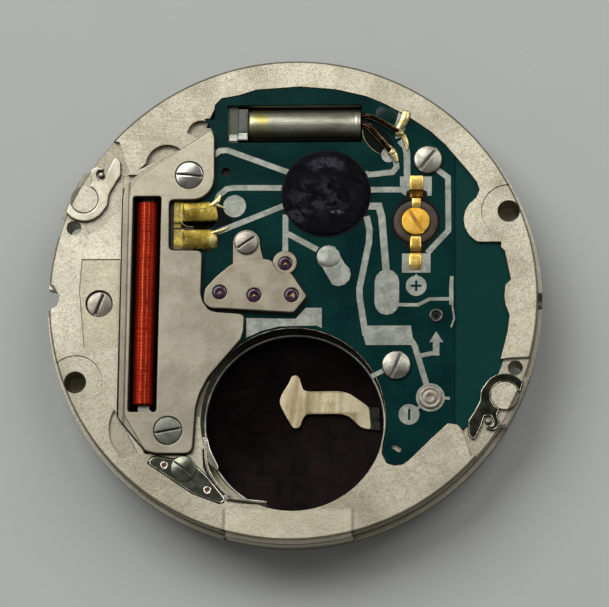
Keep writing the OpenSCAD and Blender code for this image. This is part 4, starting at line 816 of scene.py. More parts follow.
# Solder, and painted highlights along the crystal's leads.
GILT_SOLDER_AND_HIGHLIGHT = Metal(
    "gilt_solder_and_highlight", "gilt", lin(214, 202, 152), lin(156, 142, 88), (0.22, 0.36), Grain.POLISHED, 3.0, 7.0,
    0.012, 30.0, lin(104, 86, 36), 0.5)
BRASS_WHEEL = Metal(
    "brass_wheel", "brass", lin(222, 188, 112), lin(196, 158, 84), (0.2, 0.3), Grain.BRUSHED, 0.9, 12.0,
    0.003, 30.0, lin(120, 88, 40), 0.25)
IRON_CORE = Metal(
    "iron_core", "iron", lin(150, 148, 140), lin(114, 112, 104), (0.3, 0.42), Grain.BRUSHED, 0.8, 10.0,
    0.005, 86.0, lin(84, 74, 60), 0.3)
FERRITE = Metal(
    "ferrite_magnet", "magnet", lin(92, 92, 94), lin(64, 64, 68), (0.34, 0.48), Grain.SATIN, 1.5, 12.0,
    0.005, 0.0, lin(44, 40, 38), 0.3)
CREAM_STRIP = StampedStrip(
    "stamped_strip", "cream_strip", light=lin(186, 176, 146), dark=lin(146, 134, 102),
    stain=lin(118, 98, 62))
TIN_TRACK = Tinned("tin_track", "tin", light=lin(152, 154, 144), dark=lin(119, 122, 113))
TIN_RIVET = Metal(
    "tin_rivet", "tin", lin(154, 146, 134), lin(122, 114, 102), (0.34, 0.46), Grain.SATIN, 2.0, 10.0, 0.008,
    20.0, lin(84, 78, 66), 0.4)
TIN_EYELET = Metal(
    "tin_eyelet", "tin", lin(92, 98, 92), lin(58, 64, 60), (0.24, 0.34), Grain.SATIN, 3.0, 10.0, 0.008,
    20.0, lin(36, 40, 36), 0.4)
TIN_CAN = StainedCan("tin_can", "can")
BOARD_GREEN = Laminate("board_green", "board")
CHIP_RESIN = Resin("chip_resin", "resin")
RED_WINDING = Winding("red_winding", "lacquer")
WELL_FILM = Film("well_film", "film")
RUBY = Stone("ruby_bearing", "ruby")
CERAMIC = Enamel(
    "trimmer_ceramic", "ceramic_brown", lin(76, 64, 50), lin(56, 46, 36), (0.42, 0.52), 0.25, 8.0)
# Black lacquer for the crystal's header and the chip's rim, and painted shade in the trimmer's gap and the
# eyelet's bore.
BLACK_GAP = Enamel("black_lacquer_and_shade", "film", lin(12, 12, 12), lin(6, 7, 7), (0.35, 0.5), 0.1, 6.0)
# Painted shade: dark lines and rings where parts meet.
SHADE_LINE = Enamel("painted_shade_line", "film", lin(44, 38, 28), lin(22, 19, 14), (0.5, 0.7), 0.15, 8.0)
# Painted shade: the films on the floors of the screw slots and the trimmer's slot.
SLOT_SHADE = Enamel("slot_shade", "steel", lin(116, 112, 102), lin(88, 84, 74), (0.4, 0.6), 0.35, 10.0)
SLOT_DARK_SHADE = Enamel("slot_shade_film", "dark_steel", lin(56, 52, 42), lin(30, 28, 22), (0.4, 0.6), 0.25, 10.0)
GILT_SLOT_SHADE = Enamel("gilt_slot_shade", "gilt", lin(214, 158, 44), lin(160, 104, 22), (0.3, 0.4), 0.35, 10.0)
# Dark green pool; under the leads it is painted shade where the board has an opening.
POOL = Enamel("dark_green_pool", "board", lin(4, 18, 13), lin(1, 7, 5), (0.24, 0.34), 0.07, 2.0)
LUMP = Enamel("lacquer_lump", "board", lin(16, 52, 44), lin(6, 34, 30), (0.2, 0.3), 0.12, 3.0)
FLEX = Enamel("coil_flex_sheet", "flex", lin(26, 22, 20), lin(16, 14, 14), (0.35, 0.45), 0.3, 6.0)
DATE_WHITE = Enamel("date_white", "white_print", lin(236, 234, 226), lin(224, 220, 210), (0.45, 0.55), 0.35)
DATE_INK = Enamel("date_ink", "white_print", lin(24, 24, 26), lin(36, 36, 38), (0.4, 0.5), 0.3)
COPPER_PIN = Metal(
    "copper_pin", "brass", lin(128, 104, 88), lin(92, 72, 60), (0.28, 0.38), Grain.SATIN, 3.0, 12.0, 0.004,
    0.0, lin(56, 42, 34), 0.4)


@dataclass
class Shape:
    """Points in millimetres and the faces between them."""

    points: Points
    faces: list[np.ndarray]

    def __add__(self, other: "Shape") -> "Shape":
        """Both shapes in one, side by side."""
        shift = len(self.points)
        return Shape(np.vstack([self.points, other.points]), self.faces + [f + shift for f in other.faces])

    def moved(self, change: Callable[[Points], Points]) -> "Shape":
        """The same faces with every point passed through change."""
        return Shape(change(self.points), self.faces)

    def to_mesh(self, name: str, unit: float = MM) -> bpy.types.Mesh:
        """The shape as a new mesh whose millimetre is so long.

        Args:
            name: the mesh's name.
            unit: a millimetre's length in it.
        Returns:
            The mesh.
        """
        mesh = bpy.data.meshes.new(name)
        corners = [row for group in self.faces for row in group.tolist()]
        mesh.from_pydata((self.points * unit).tolist(), [], corners)
        return mesh

    @staticmethod
    def from_mesh(mesh: bpy.types.Mesh, unit: float = MM) -> "Shape":
        """The points and faces of a mesh whose millimetre is so long; the mesh is then deleted.

        Args:
            mesh: what is read.
            unit: a millimetre's length in it.
        Returns:
            The shape.
        """
        flat = np.empty(len(mesh.vertices) * 3)
        mesh.vertices.foreach_get("co", flat)
        faces = [np.array([face.vertices[:]]) for face in mesh.polygons]
        bpy.data.meshes.remove(mesh)
        return Shape(flat.reshape(-1, 3) / unit, faces)

    def cut_across(self, places: Sequence[float]) -> "Shape":
        """Add edges where upright planes across X cut the shape, so that it can be bent there.

        Args:
            places: where the planes stand, in millimetres.
        Returns:
            The same surface in triangles, with more edges.
        """
        mesh = self.to_mesh("cut_across", 1.0)
        work = bmesh.new()
        work.from_mesh(mesh)
        for place in places:
            parts = work.verts[:] + work.edges[:] + work.faces[:]
            bmesh.ops.bisect_plane(work, geom=parts, dist=1e-5, plane_co=(place, 0, 0), plane_no=(1, 0, 0))
        bmesh.ops.triangulate(work, faces=work.faces[:])
        work.to_mesh(mesh)
        work.free()
        return Shape.from_mesh(mesh, 1.0)


def joined(shapes: Iterable[Shape]) -> Shape:
    """All shapes in one, side by side."""
    return reduce(Shape.__add__, shapes)


def lattice(rows: int, cols: int, ring_rows: bool = False, ring_cols: bool = False) -> np.ndarray:
    """Faces of a grid whose point (i, j) is number i * cols + j.

    Args:
        rows, cols: how many points each way.
        ring_rows, ring_cols: whether the last row or column joins the first.
    Returns:
        Four corners a face; the face looks along (col direction) x (row direction).
    """
    i, j = np.meshgrid(np.arange(rows - (not ring_rows)), np.arange(cols - (not ring_cols)), indexing="ij")
    i, j = i.ravel(), j.ravel()
    i1, j1 = (i + 1) % rows, (j + 1) % cols
    return np.stack([i * cols + j, i * cols + j1, i1 * cols + j1, i1 * cols + j], axis=1)


def skin(grid: Points, ring_rows: bool = False, ring_cols: bool = True, flip: bool = False) -> Shape:
    """The surface over a grid of points, closed where ring_rows or ring_cols says, or turned inside out."""
    faces = lattice(len(grid), grid.shape[1], ring_rows, ring_cols)
    return Shape(grid.reshape(-1, 3), [faces[:, ::-1] if flip else faces])


def unit(rows: Points) -> Points:
    """Each row divided by its length."""
    return rows / np.maximum(np.linalg.norm(rows, axis=1, keepdims=True), 1e-9)


def leftward(rows: Points) -> Points:
    """Each flat direction (x, y) turned left, to (-y, x)."""
    return np.stack([-rows[:, 1], rows[:, 0]], axis=1)


def mitre(n: Points, m: Points) -> Points:
    """The step that moves two sides with left normals n and m by one unit: (n + m) / (1 + n.m)."""
    return (n + m) / np.maximum(1 + np.sum(n * m, axis=1, keepdims=True), 0.4)


def angles(count: int) -> Points:
    """So many equal steps once round, in radians."""
    return np.arange(count) * 2 * np.pi / count


def spin(p: Points, degrees: float) -> Points:
    """Points turned about Z: x becomes x cos t - y sin t, and y becomes x sin t + y cos t."""
    cos, sin = math.cos(math.radians(degrees)), math.sin(math.radians(degrees))
    return np.column_stack([p[:, 0] * cos - p[:, 1] * sin, p[:, 0] * sin + p[:, 1] * cos, p[:, 2:]])


def box_corners(x0: float, y0: float, x1: float, y1: float) -> list[Pair]:
    """The corners of a rectangle, anticlockwise."""
    return [(x0, y0), (x1, y0), (x1, y1), (x0, y1)]


def soften(corners: Line, radius: float, steps: int = 5) -> Points:
    """Round a polygon's corners.

    Each corner P becomes the curve (1-t)^2 A + 2t(1-t) P + t^2 B, where A and B lie on its two sides
    at the radius, or a little less than half a side away.

    Args:
        corners: the polygon.
        radius: how far from the corner the curve starts.
        steps: pieces in each curve.
    Returns:
        The rounded loop of points.
    """
    p = np.asarray(corners, float)
    back, ahead = np.roll(p, 1, 0) - p, np.roll(p, -1, 0) - p
    size_a = np.linalg.norm(back, axis=1, keepdims=True)
    size_b = np.linalg.norm(ahead, axis=1, keepdims=True)
    a = p + back / size_a * np.minimum(radius, 0.46 * size_a)
    b = p + ahead / size_b * np.minimum(radius, 0.46 * size_b)
    t = np.linspace(0, 1, steps + 1)[None, :, None]
    curve = (1 - t) ** 2 * a[:, None] + 2 * t * (1 - t) * p[:, None] + t ** 2 * b[:, None]
    return curve.reshape(-1, 2)


def circle(centre: Pair, radius: float, count: int = 64) -> Points:
    """Points centre + radius (cos a, sin a), a going once round."""
    a = angles(count)
    return np.stack([centre[0] + radius * np.cos(a), centre[1] + radius * np.sin(a)], axis=1)


def arc(centre: Pair, radius: float, start: float, end: float, count: int = 8) -> list[Pair]:
    """Points of an arc from start to end degrees."""
    a = np.radians(np.linspace(start, end, count + 1))
    return list(zip(centre[0] + radius * np.cos(a), centre[1] + radius * np.sin(a)))


def anticlockwise(loop: Points) -> Points:
    """The loop, turned round where the sum of cross products of neighbours is below 0."""
    ahead = np.roll(loop, -1, 0)
    area = np.sum(loop[:, 0] * ahead[:, 1] - loop[:, 1] * ahead[:, 0])
    return loop if area > 0 else loop[::-1]


def mitres(loop: Points) -> Points:
    """For each point of a loop the step that moves both its sides one unit to the left."""
    n = leftward(unit(np.roll(loop, -1, 0) - loop))
    return mitre(n, np.roll(n, 1, 0))


def edge_profile(low: float, high: float, under: float, over: float, steps: int = 4) -> Points:
    """Inset and height up the side of a slab with rounded edges.

    Both roundings are quarter circles: inset r (1 - sin a), height r (1 - cos a). A flat rim of
    SHADE_RIM follows each.

    Args:
        low, high: the slab's faces.
        under, over: radius of the lower and upper rounding.
        steps: pieces in each quarter.
    Returns:
        Rows of inset and height from the lower face to the upper.
    """
    a = np.linspace(0, np.pi / 2, steps + 1)
    lower = np.stack([under * (1 - np.sin(a)), low + under * (1 - np.cos(a))], axis=1)
    upper = np.stack([over * (1 - np.cos(a)), high - over * (1 - np.sin(a))], axis=1)
    return np.vstack([[under + SHADE_RIM, low], lower, upper, [over + SHADE_RIM, high]])


def slab(outline: Points, profile: Points, holes: Sequence[Points] = ()) -> Shape:
    """A flat part: its outline carried up a profile, and closed by two faces.

    Row k of the side is the outline moved inwards by inset k at height k; holes move the other way.

    Args:
        outline: the loop round the part.
        profile: rows of inset and height, from the lower face up.
        holes: loops of its openings.
    Returns:
        The closed shape.
    """
    loops = [anticlockwise(outline)] + [anticlockwise(hole)[::-1] for hole in holes]
    points, faces, start, ends = [], [], 0, [[], []]
    rows = len(profile)
    for loop in loops:
        flat = loop[None] + profile[:, 0, None, None] * mitres(loop)[None]
        high = np.broadcast_to(profile[:, 1, None, None], (rows, len(loop), 1))
        points.append(np.concatenate([flat, high], axis=2).reshape(-1, 3))
        faces.append(lattice(rows, len(loop), ring_cols=True) + start)
        for side, row in ((0, 0), (1, rows - 1)):
            ends[side].append((flat[row], start + row * len(loop)))
        start += rows * len(loop)
    for side, up in ((0, False), (1, True)):
        rings = [[Vector((x, y, 0)) for x, y in ring] for ring, _ in ends[side]]
        numbers = np.concatenate([first + np.arange(len(ring)) for ring, first in ends[side]])
        flat = np.concatenate([ring for ring, _ in ends[side]])
        tri = np.array(tessellate_polygon(rings))
        a, b, c = flat[tri[:, 0]], flat[tri[:, 1]], flat[tri[:, 2]]
        turn = (b[:, 0] - a[:, 0]) * (c[:, 1] - a[:, 1]) - (b[:, 1] - a[:, 1]) * (c[:, 0] - a[:, 0])
        tri = np.where(((turn > 0) == up)[:, None], tri, tri[:, ::-1])
        faces.append(numbers[tri])
    return Shape(np.vstack(points), faces)


def sheet_line(outline: Points, wider: float, low: float, high: float,
               holes: Sequence[Points] = ()) -> Shape:
    """A sheet from low to high that stands out so much wider than a loop and its holes, as a dark line:
    painted shade where parts meet, and the chip's dark resin rim.
    """
    return slab(outline, np.array([[-wider, low], [-wider, high]]), holes)


def block(corners: Line, radius: float, low: float, high: float, over: float = 0.0,
          steps: int = 4) -> Shape:
    """A flat part from low to high, its corners rounded by radius and its upper edge by over."""
    return slab(soften(corners, radius), edge_profile(low, high, 0.0, over, steps))


def turned(profile: Line, centre: Pair, count: int = 64, closed: bool = False) -> Shape:
    """A turned part: point (r, z) of the profile goes to centre + r (cos a, sin a), height z.

    Args:
        profile: radius and height, running outwards below and inwards above.
        centre: the axis.
        count: points round the axis.
        closed: whether the profile's end joins its start, as in a ring.
    Returns:
        The shape.
    """
    p, a = np.asarray(profile, float), angles(count)
    r, z = p[:, 0, None], p[:, 1, None]
    points = np.stack([centre[0] + r * np.cos(a), centre[1] + r * np.sin(a), z + 0 * a], axis=2)
    return skin(points, ring_rows=closed)


def turned_at(centres: Line, profile: Line, count: int, closed: bool = False) -> Shape:
    """The same turned part at each of the centres."""
    return joined(turned(profile, centre, count, closed) for centre in centres)


def ribbon(path: Line, width: float) -> Points:
    """The loop round an open line: half the width to each side along the mitres.

    Args:
        path: the line's points.
        width: how wide the ribbon is.
    Returns:
        The loop.
    """
    p = np.asarray(path, float)
    n = leftward(unit(np.diff(p, axis=0)))
    m = mitre(np.vstack([n[:1], n]), np.vstack([n, n[-1:]]))
    return np.vstack([p - m * width / 2, (p + m * width / 2)[::-1]])


def smooth_line(nodes: Sequence[Sequence[float]], count: int) -> Points:
    """A smooth line through points: cubic pieces whose slope at a point is half the step past it.

    Args:
        nodes: the points.
        count: how many points the line gets.
    Returns:
        The line.
    """
    p = np.asarray(nodes, float)
    pad = np.vstack([2 * p[0] - p[1], p, 2 * p[-1] - p[-2]])
    s = np.linspace(0, len(p) - 1 - 1e-9, count)
    i, t = s.astype(int), (s % 1)[:, None]
    a, b, c, d = pad[i], pad[i + 1], pad[i + 2], pad[i + 3]
    return 0.5 * (2 * b + (c - a) * t + (2 * a - 5 * b + 4 * c - d) * t ** 2
                  + (3 * b - a - 3 * c + d) * t ** 3)


def tube(line: Points, radius: "float | Points", count: int = 20) -> Shape:
    """A round wire: circles of the radius square to a line, with rounded ends.

    With T the line's direction and U, V square to it, a point is P + r (U cos a + V sin a). Three
    smaller circles past each end close it.

    Args:
        line: the wire's middle.
        radius: one radius, or one for each point of the line.
        count: points round the wire.
    Returns:
        The closed wire.
    """
    shrink, reach = np.array([0.0, 0.6, 0.92]), np.array([[0.5], [0.4], [0.2]])
    way = unit(np.gradient(line, axis=0))
    side = unit(np.cross(np.array([0.0, 0.0, 1.0]), way))
    size = radius * np.ones(len(line))
    centre, u, v = (np.vstack([np.repeat(rows[:1], 3, 0), rows, np.repeat(rows[-1:], 3, 0)])
                    for rows in (line, side, np.cross(way, side)))
    centre[:3] -= way[:1] * size[0] * reach
    centre[-3:] += way[-1:] * size[-1] * reach[::-1]
    size = np.concatenate([shrink * size[0], size, shrink[::-1] * size[-1]])
    a = angles(count)[None, :, None]
    return skin(centre[:, None] + size[:, None, None] * (u[:, None] * np.cos(a) + v[:, None] * np.sin(a)))


def flat_runs(runs: Sequence[tuple], height: float, base: float, squeeze: float) -> Shape:
    """Runs of solder: tubes of varying width along smooth lines, squeezed towards a base plane.

    A height z of the round tube becomes base + squeeze (z - base).

    Args:
        runs: pairs of a line's points, seen from above, and the radii along it.
        height: the tubes' middle before they are squeezed.
        base: the plane that stays in its place.
        squeeze: the share of the height that is left.
    Returns:
        All runs in one.
    """
    count = 30

    def run(way: Line, sizes: Sequence[float]) -> Shape:
        """One run before it is squeezed."""
        width = np.interp(np.linspace(0, 1, count), np.linspace(0, 1, len(sizes)), sizes)
        return tube(smooth_line([(x, y, height) for x, y in way], count), width, 18)

    flat, lift = np.array([1, 1, squeeze]), np.array([0, 0, base * (1 - squeeze)])
    return joined(run(*row) for row in runs).moved(lambda p: p * flat + lift)


def edge_highlight(outline: Points, inset: float, height: float, radius: float) -> Shape:
    """A painted highlight along a part's upper edge: a closed ring of small circles.

    At each point of the outline, moved inwards, a circle of the radius stands across the edge.

    Args:
        outline: the part's loop.
        inset: how far inside it the thread runs.
        height: the thread's middle.
        radius: the thread's radius.
    Returns:
        The closed ring.
    """
    loop, a = anticlockwise(outline), angles(8)
    flat = loop[:, None] + mitres(loop)[:, None] * (inset + radius * np.cos(a))[None, :, None]
    high = np.broadcast_to((height + radius * np.sin(a))[None, :, None], (len(loop), len(a), 1))
    return skin(np.concatenate([flat, high], axis=2), ring_rows=True)


def bead(centre: Pair, radius: float, height: float, floor: float, lobes: Sequence[Triple] = (),
         rows: int = 14, count: int = 48, ripple: Optional[Waves] = None) -> Shape:
    """A drop on a flat face: height times the square root of 1 - s^2 over a lobed outline.

    Args:
        centre, radius, height, floor: its place and size.
        lobes: (waves round, share of the radius, phase) added to the outline.
        rows, count: grid size.
        ripple: height added as a function of the point's place.
    Returns:
        The closed drop.
    """
    a = angles(count)
    edge = radius * (1 + sum((share * np.cos(n * a + phase) for n, share, phase in lobes), 0 * a))
    s = np.sin(np.linspace(np.pi / 2, 0, rows))[:, None]
    x, y = centre[0] + s * edge * np.cos(a), centre[1] + s * edge * np.sin(a)
    z = floor + height * np.sqrt(np.maximum(1 - s ** 2, 0)) + 0 * a
    if ripple is not None:
        z = z + ripple(x, y) * (1 - s ** 6)
    foot = np.full_like(z[:1], floor - 0.02)
    under = np.stack([x[:1], y[:1], foot], axis=2)
    middle = np.stack([0 * foot + centre[0], 0 * foot + centre[1], foot], axis=2)
    return skin(np.concatenate([middle, under, np.stack([x, y, z], axis=2)]))


def waves(seed: int, count: int, low: float, high: float) -> Waves:
    """A sum of plane waves with seeded directions and phases, shared out evenly, about -1 to 1.

    Args:
        seed: fixes the waves.
        count: number of waves.
        low, high: least and greatest waves to the millimetre.
    Returns:
        The height as a function of x and y.
    """
    rng = np.random.default_rng(seed)
    k = rng.uniform(low, high, count) * 2 * np.pi
    turn, phase = rng.uniform(0, 2 * np.pi, count), rng.uniform(0, 2 * np.pi, count)
    share = rng.uniform(0.5, 1.0, count) / count * 1.6

    def height(x: Points, y: Points) -> Points:
        """Sum of share cos(k (x cos t + y sin t) + phase)."""
        shape = (slice(None),) + (None,) * np.ndim(x)
        inner = k[shape] * (x[None] * np.cos(turn)[shape] + y[None] * np.sin(turn)[shape]) + phase[shape]
        return np.sum(share[shape] * np.cos(inner), axis=0)

    return height


def add_object(name: str, data: bpy.types.ID) -> bpy.types.Object:
    """A new object that shows the data in the scene."""
    made = bpy.data.objects.new(name, data)
    bpy.context.scene.collection.objects.link(made)
    return made


@dataclass
class SubAssembly:
    """What every part of the movement shares: placing new pieces and dressing CAD nodes."""

    def place(self, name: str, shape: Shape, finish: Finish, body: Body = Body.PLATE,
              instead_of: Sequence[str] = (), even: bool = True, fold: float = 40.0) -> None:
        """Put a shape into the scene.

        Args:
            name: the piece's name.
            shape: its surface in millimetres.
            finish: what it is made of.
            body: the moving group that it rides on.
            instead_of: CAD nodes that it stands for.
            even: whether large faces set the shading.
            fold: the angle, in degrees, from which an edge stays sharp.
        """
        mesh = shape.to_mesh(name)
        work = bmesh.new()
        work.from_mesh(mesh)
        bmesh.ops.remove_doubles(work, verts=work.verts[:], dist=SAME_POINT)
        bmesh.ops.dissolve_degenerate(work, edges=work.edges[:], dist=NO_LENGTH)
        work.to_mesh(mesh)
        work.free()
        mesh.shade_smooth()
        mesh.set_sharp_from_angle(angle=math.radians(fold))
        mesh.materials.append(finish.material())
        made = add_object(name, mesh)
        if even:
            made.modifiers.new("even_shading", "WEIGHTED_NORMAL").keep_sharp = True
        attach(made, body.value)
        if instead_of:
            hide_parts(*instead_of)
        LOG.info("%s: %d faces, %s", name, len(mesh.polygons), finish.title)

    @staticmethod
    def face_evener() -> bpy.types.NodeTree:
        """Geometry nodes that join loose triangles and shade each face by its own plane.

        Stored normals are dropped, faces turn smooth, and wide edges turn sharp, so flat faces stay
        even and round walls stay round.

        Returns:
            The group, made once.
        """
        title = "face_evener"
        if title in bpy.data.node_groups:
            return bpy.data.node_groups[title]
        tree = bpy.data.node_groups.new(title, "GeometryNodeTree")
        tree.interface.new_socket("Geometry", in_out="INPUT", socket_type="NodeSocketGeometry")
        tree.interface.new_socket("Geometry", in_out="OUTPUT", socket_type="NodeSocketGeometry")
        entry, end = tree.nodes.new("NodeGroupInput"), tree.nodes.new("NodeGroupOutput")
        merged = tree.nodes.new("GeometryNodeMergeByDistance")
        merged.inputs["Distance"].default_value = SAME_POINT
        bare = tree.nodes.new("GeometryNodeRemoveAttribute")
        bare.inputs["Name"].default_value = "custom_normal"
        smooth = tree.nodes.new("GeometryNodeSetShadeSmooth")
        smooth.domain = "FACE"
        sharp = tree.nodes.new("GeometryNodeSetShadeSmooth")
        sharp.domain = "EDGE"
        sharp.inputs["Shade Smooth"].default_value = False
        angle = tree.nodes.new("GeometryNodeInputMeshEdgeAngle")
        wide = tree.nodes.new("FunctionNodeCompare")
        wide.data_type, wide.operation = "FLOAT", "GREATER_THAN"
        wide.inputs[1].default_value = math.radians(SHARP_FROM)
        tree.links.new(angle.outputs["Unsigned Angle"], wide.inputs[0])
        tree.links.new(wide.outputs["Result"], sharp.inputs["Selection"])
        chain = [entry, merged, bare, smooth, sharp, end]
        for before, after in zip(chain, chain[1:]):
            tree.links.new(before.outputs[0], after.inputs[0])
        return tree

    def dress(self, node: str, finish: Finish, rounding: float = 0.0) -> None:
        """Give a CAD node its finish and soften its edges without touching its mesh.

        Args:
            node: the node's name.
            finish: what it is made of.
            rounding: width of the softened edge in millimetres; 0 leaves it sharp.
        """
        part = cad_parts[node]
        part.data.materials.clear()
        part.data.materials.append(finish.material())
        part.modifiers.new("even_faces", "NODES").node_group = self.face_evener()
        if rounding:
            bevel = part.modifiers.new("edge_break", "BEVEL")
            bevel.width = rounding * MM
            bevel.segments = 2
            bevel.limit_method = "ANGLE"
            bevel.angle_limit = math.radians(SOFTENED_FROM)
            bevel.use_clamp_overlap = False
            bevel.harden_normals = True
        LOG.info("%s: CAD node in %s", node, finish.title)


@dataclass(frozen=True)
class SlottedScrew:
    """A domed screw head with a rounded rim and one slot, on its shank."""

    centre: Pair
    radius: float
    seat: float
    top: float
    slot_at: float
    slot_width: float
    slot_depth: float
    crown: float
    rim: float
    shank_end: float
    shank: float = 0.28

    def head(self) -> Shape:
        """Head, slot, skirt and shank as one closed surface.

        Over the slot's frame (u across, v along) the columns stand at fixed u and the rows at
        v = s sqrt(R^2 - u^2); the height is crown (1 - r^2 / R^2), or the slot's floor between its
        walls. Outside that disc, rings follow a quarter circle down to the skirt.

        Returns:
            The whole screw.
        """
        inner, half, soft = self.radius - self.rim, self.slot_width / 2, 0.012
        per_side, over, corner = 15, 25, 4
        side = inner * np.sin(np.linspace(-np.pi / 2, -np.arcsin((half + soft) / inner), per_side))
        u = np.concatenate([side, [-half, -half, 0.0, half, half], -side[::-1]])
        level = np.zeros(per_side)
        sunk = np.concatenate([level, [0.25, 1, 1, 1, 0.25], level])
        s = np.sin(np.linspace(-np.pi / 2, np.pi / 2, over))[:, None]
        v = s * np.sqrt(np.maximum(inner ** 2 - u ** 2, 0))
        rise, floor = self.top - self.crown, self.top - self.slot_depth
        dome = rise + self.crown * (1 - (u ** 2 + v ** 2) / inner ** 2)
        face = np.stack([u + 0 * s, v, np.where(sunk == 1, floor, dome - sunk * soft)], axis=2)
        rim = np.concatenate([face[0], face[-1, ::-1]])
        way = unit(rim[:, :2])
        in_slot = np.concatenate([sunk, sunk[::-1]]) == 1
        a = np.linspace(0, np.pi / 2, corner + 1)[1:]
        radii = np.concatenate([inner + self.rim * np.sin(a), [self.radius, self.shank, self.shank, 0.0]])
        highs = np.concatenate([rise - self.rim * (1 - np.cos(a)),
                                [self.seat, self.seat, self.shank_end, self.shank_end]])
        cut = in_slot & (np.arange(len(radii)) < corner)[:, None]
        high = np.where(cut, np.minimum(highs[:, None], floor), highs[:, None])
        rings = np.concatenate([radii[:, None, None] * way, high[:, :, None]], axis=2)
        skirt = np.concatenate([rim[None], rings])
        return (skin(face, ring_cols=False) + skin(skirt, flip=True)).moved(self.put)

    def put(self, p: Points) -> Points:
        """Turn points from the slot's frame (slot along Y) and shift them to the screw's centre."""
        return spin(p, self.slot_at - 90) + np.array([*self.centre, 0.0])

    def slot_shade_film(self, share: float = 0.92) -> Shape:
        """A thin film on the slot's floor, painted shade in the slot.

        Args:
            share: how much of the slot's length it fills.
        Returns:
            The film.
        """
        half, end = self.slot_width / 2 - 0.006, (self.radius - self.rim) * share
        floor = self.top - self.slot_depth
        loop = soften(box_corners(-half, -end, half, end), 0.02, 2)
        return slab(loop, edge_profile(floor - 0.01, floor + 0.012, 0.0, 0.004, 1)).moved(self.put)


def jewel(centre: Pair, low: float, high: float) -> Shape:
    """A ring-shaped stone: chamfered rim, flat face, round oil cup down to the bore.

    The cup's height below the face is depth (1 - s^2) from the cup's edge, s = 0, to the bore.

    Args:
        centre: its axis.
        low, high: its faces.
    Returns:
        The stone.
    """
    radius, cup, bore, depth = 0.36, 0.22, 0.045, 0.09
    s = np.linspace(0, 1, 7)
    hollow = np.stack([bore + (cup - bore) * (1 - s), high - depth * (1 - (1 - s) ** 2)], axis=1)
    rim = [(bore, low), (radius - 0.03, low), (radius, low + 0.03), (radius, high - 0.05),
           (radius - 0.015, high - 0.018), (radius - 0.05, high)]
    return turned(np.vstack([rim, hollow]), centre, 48, closed=True)


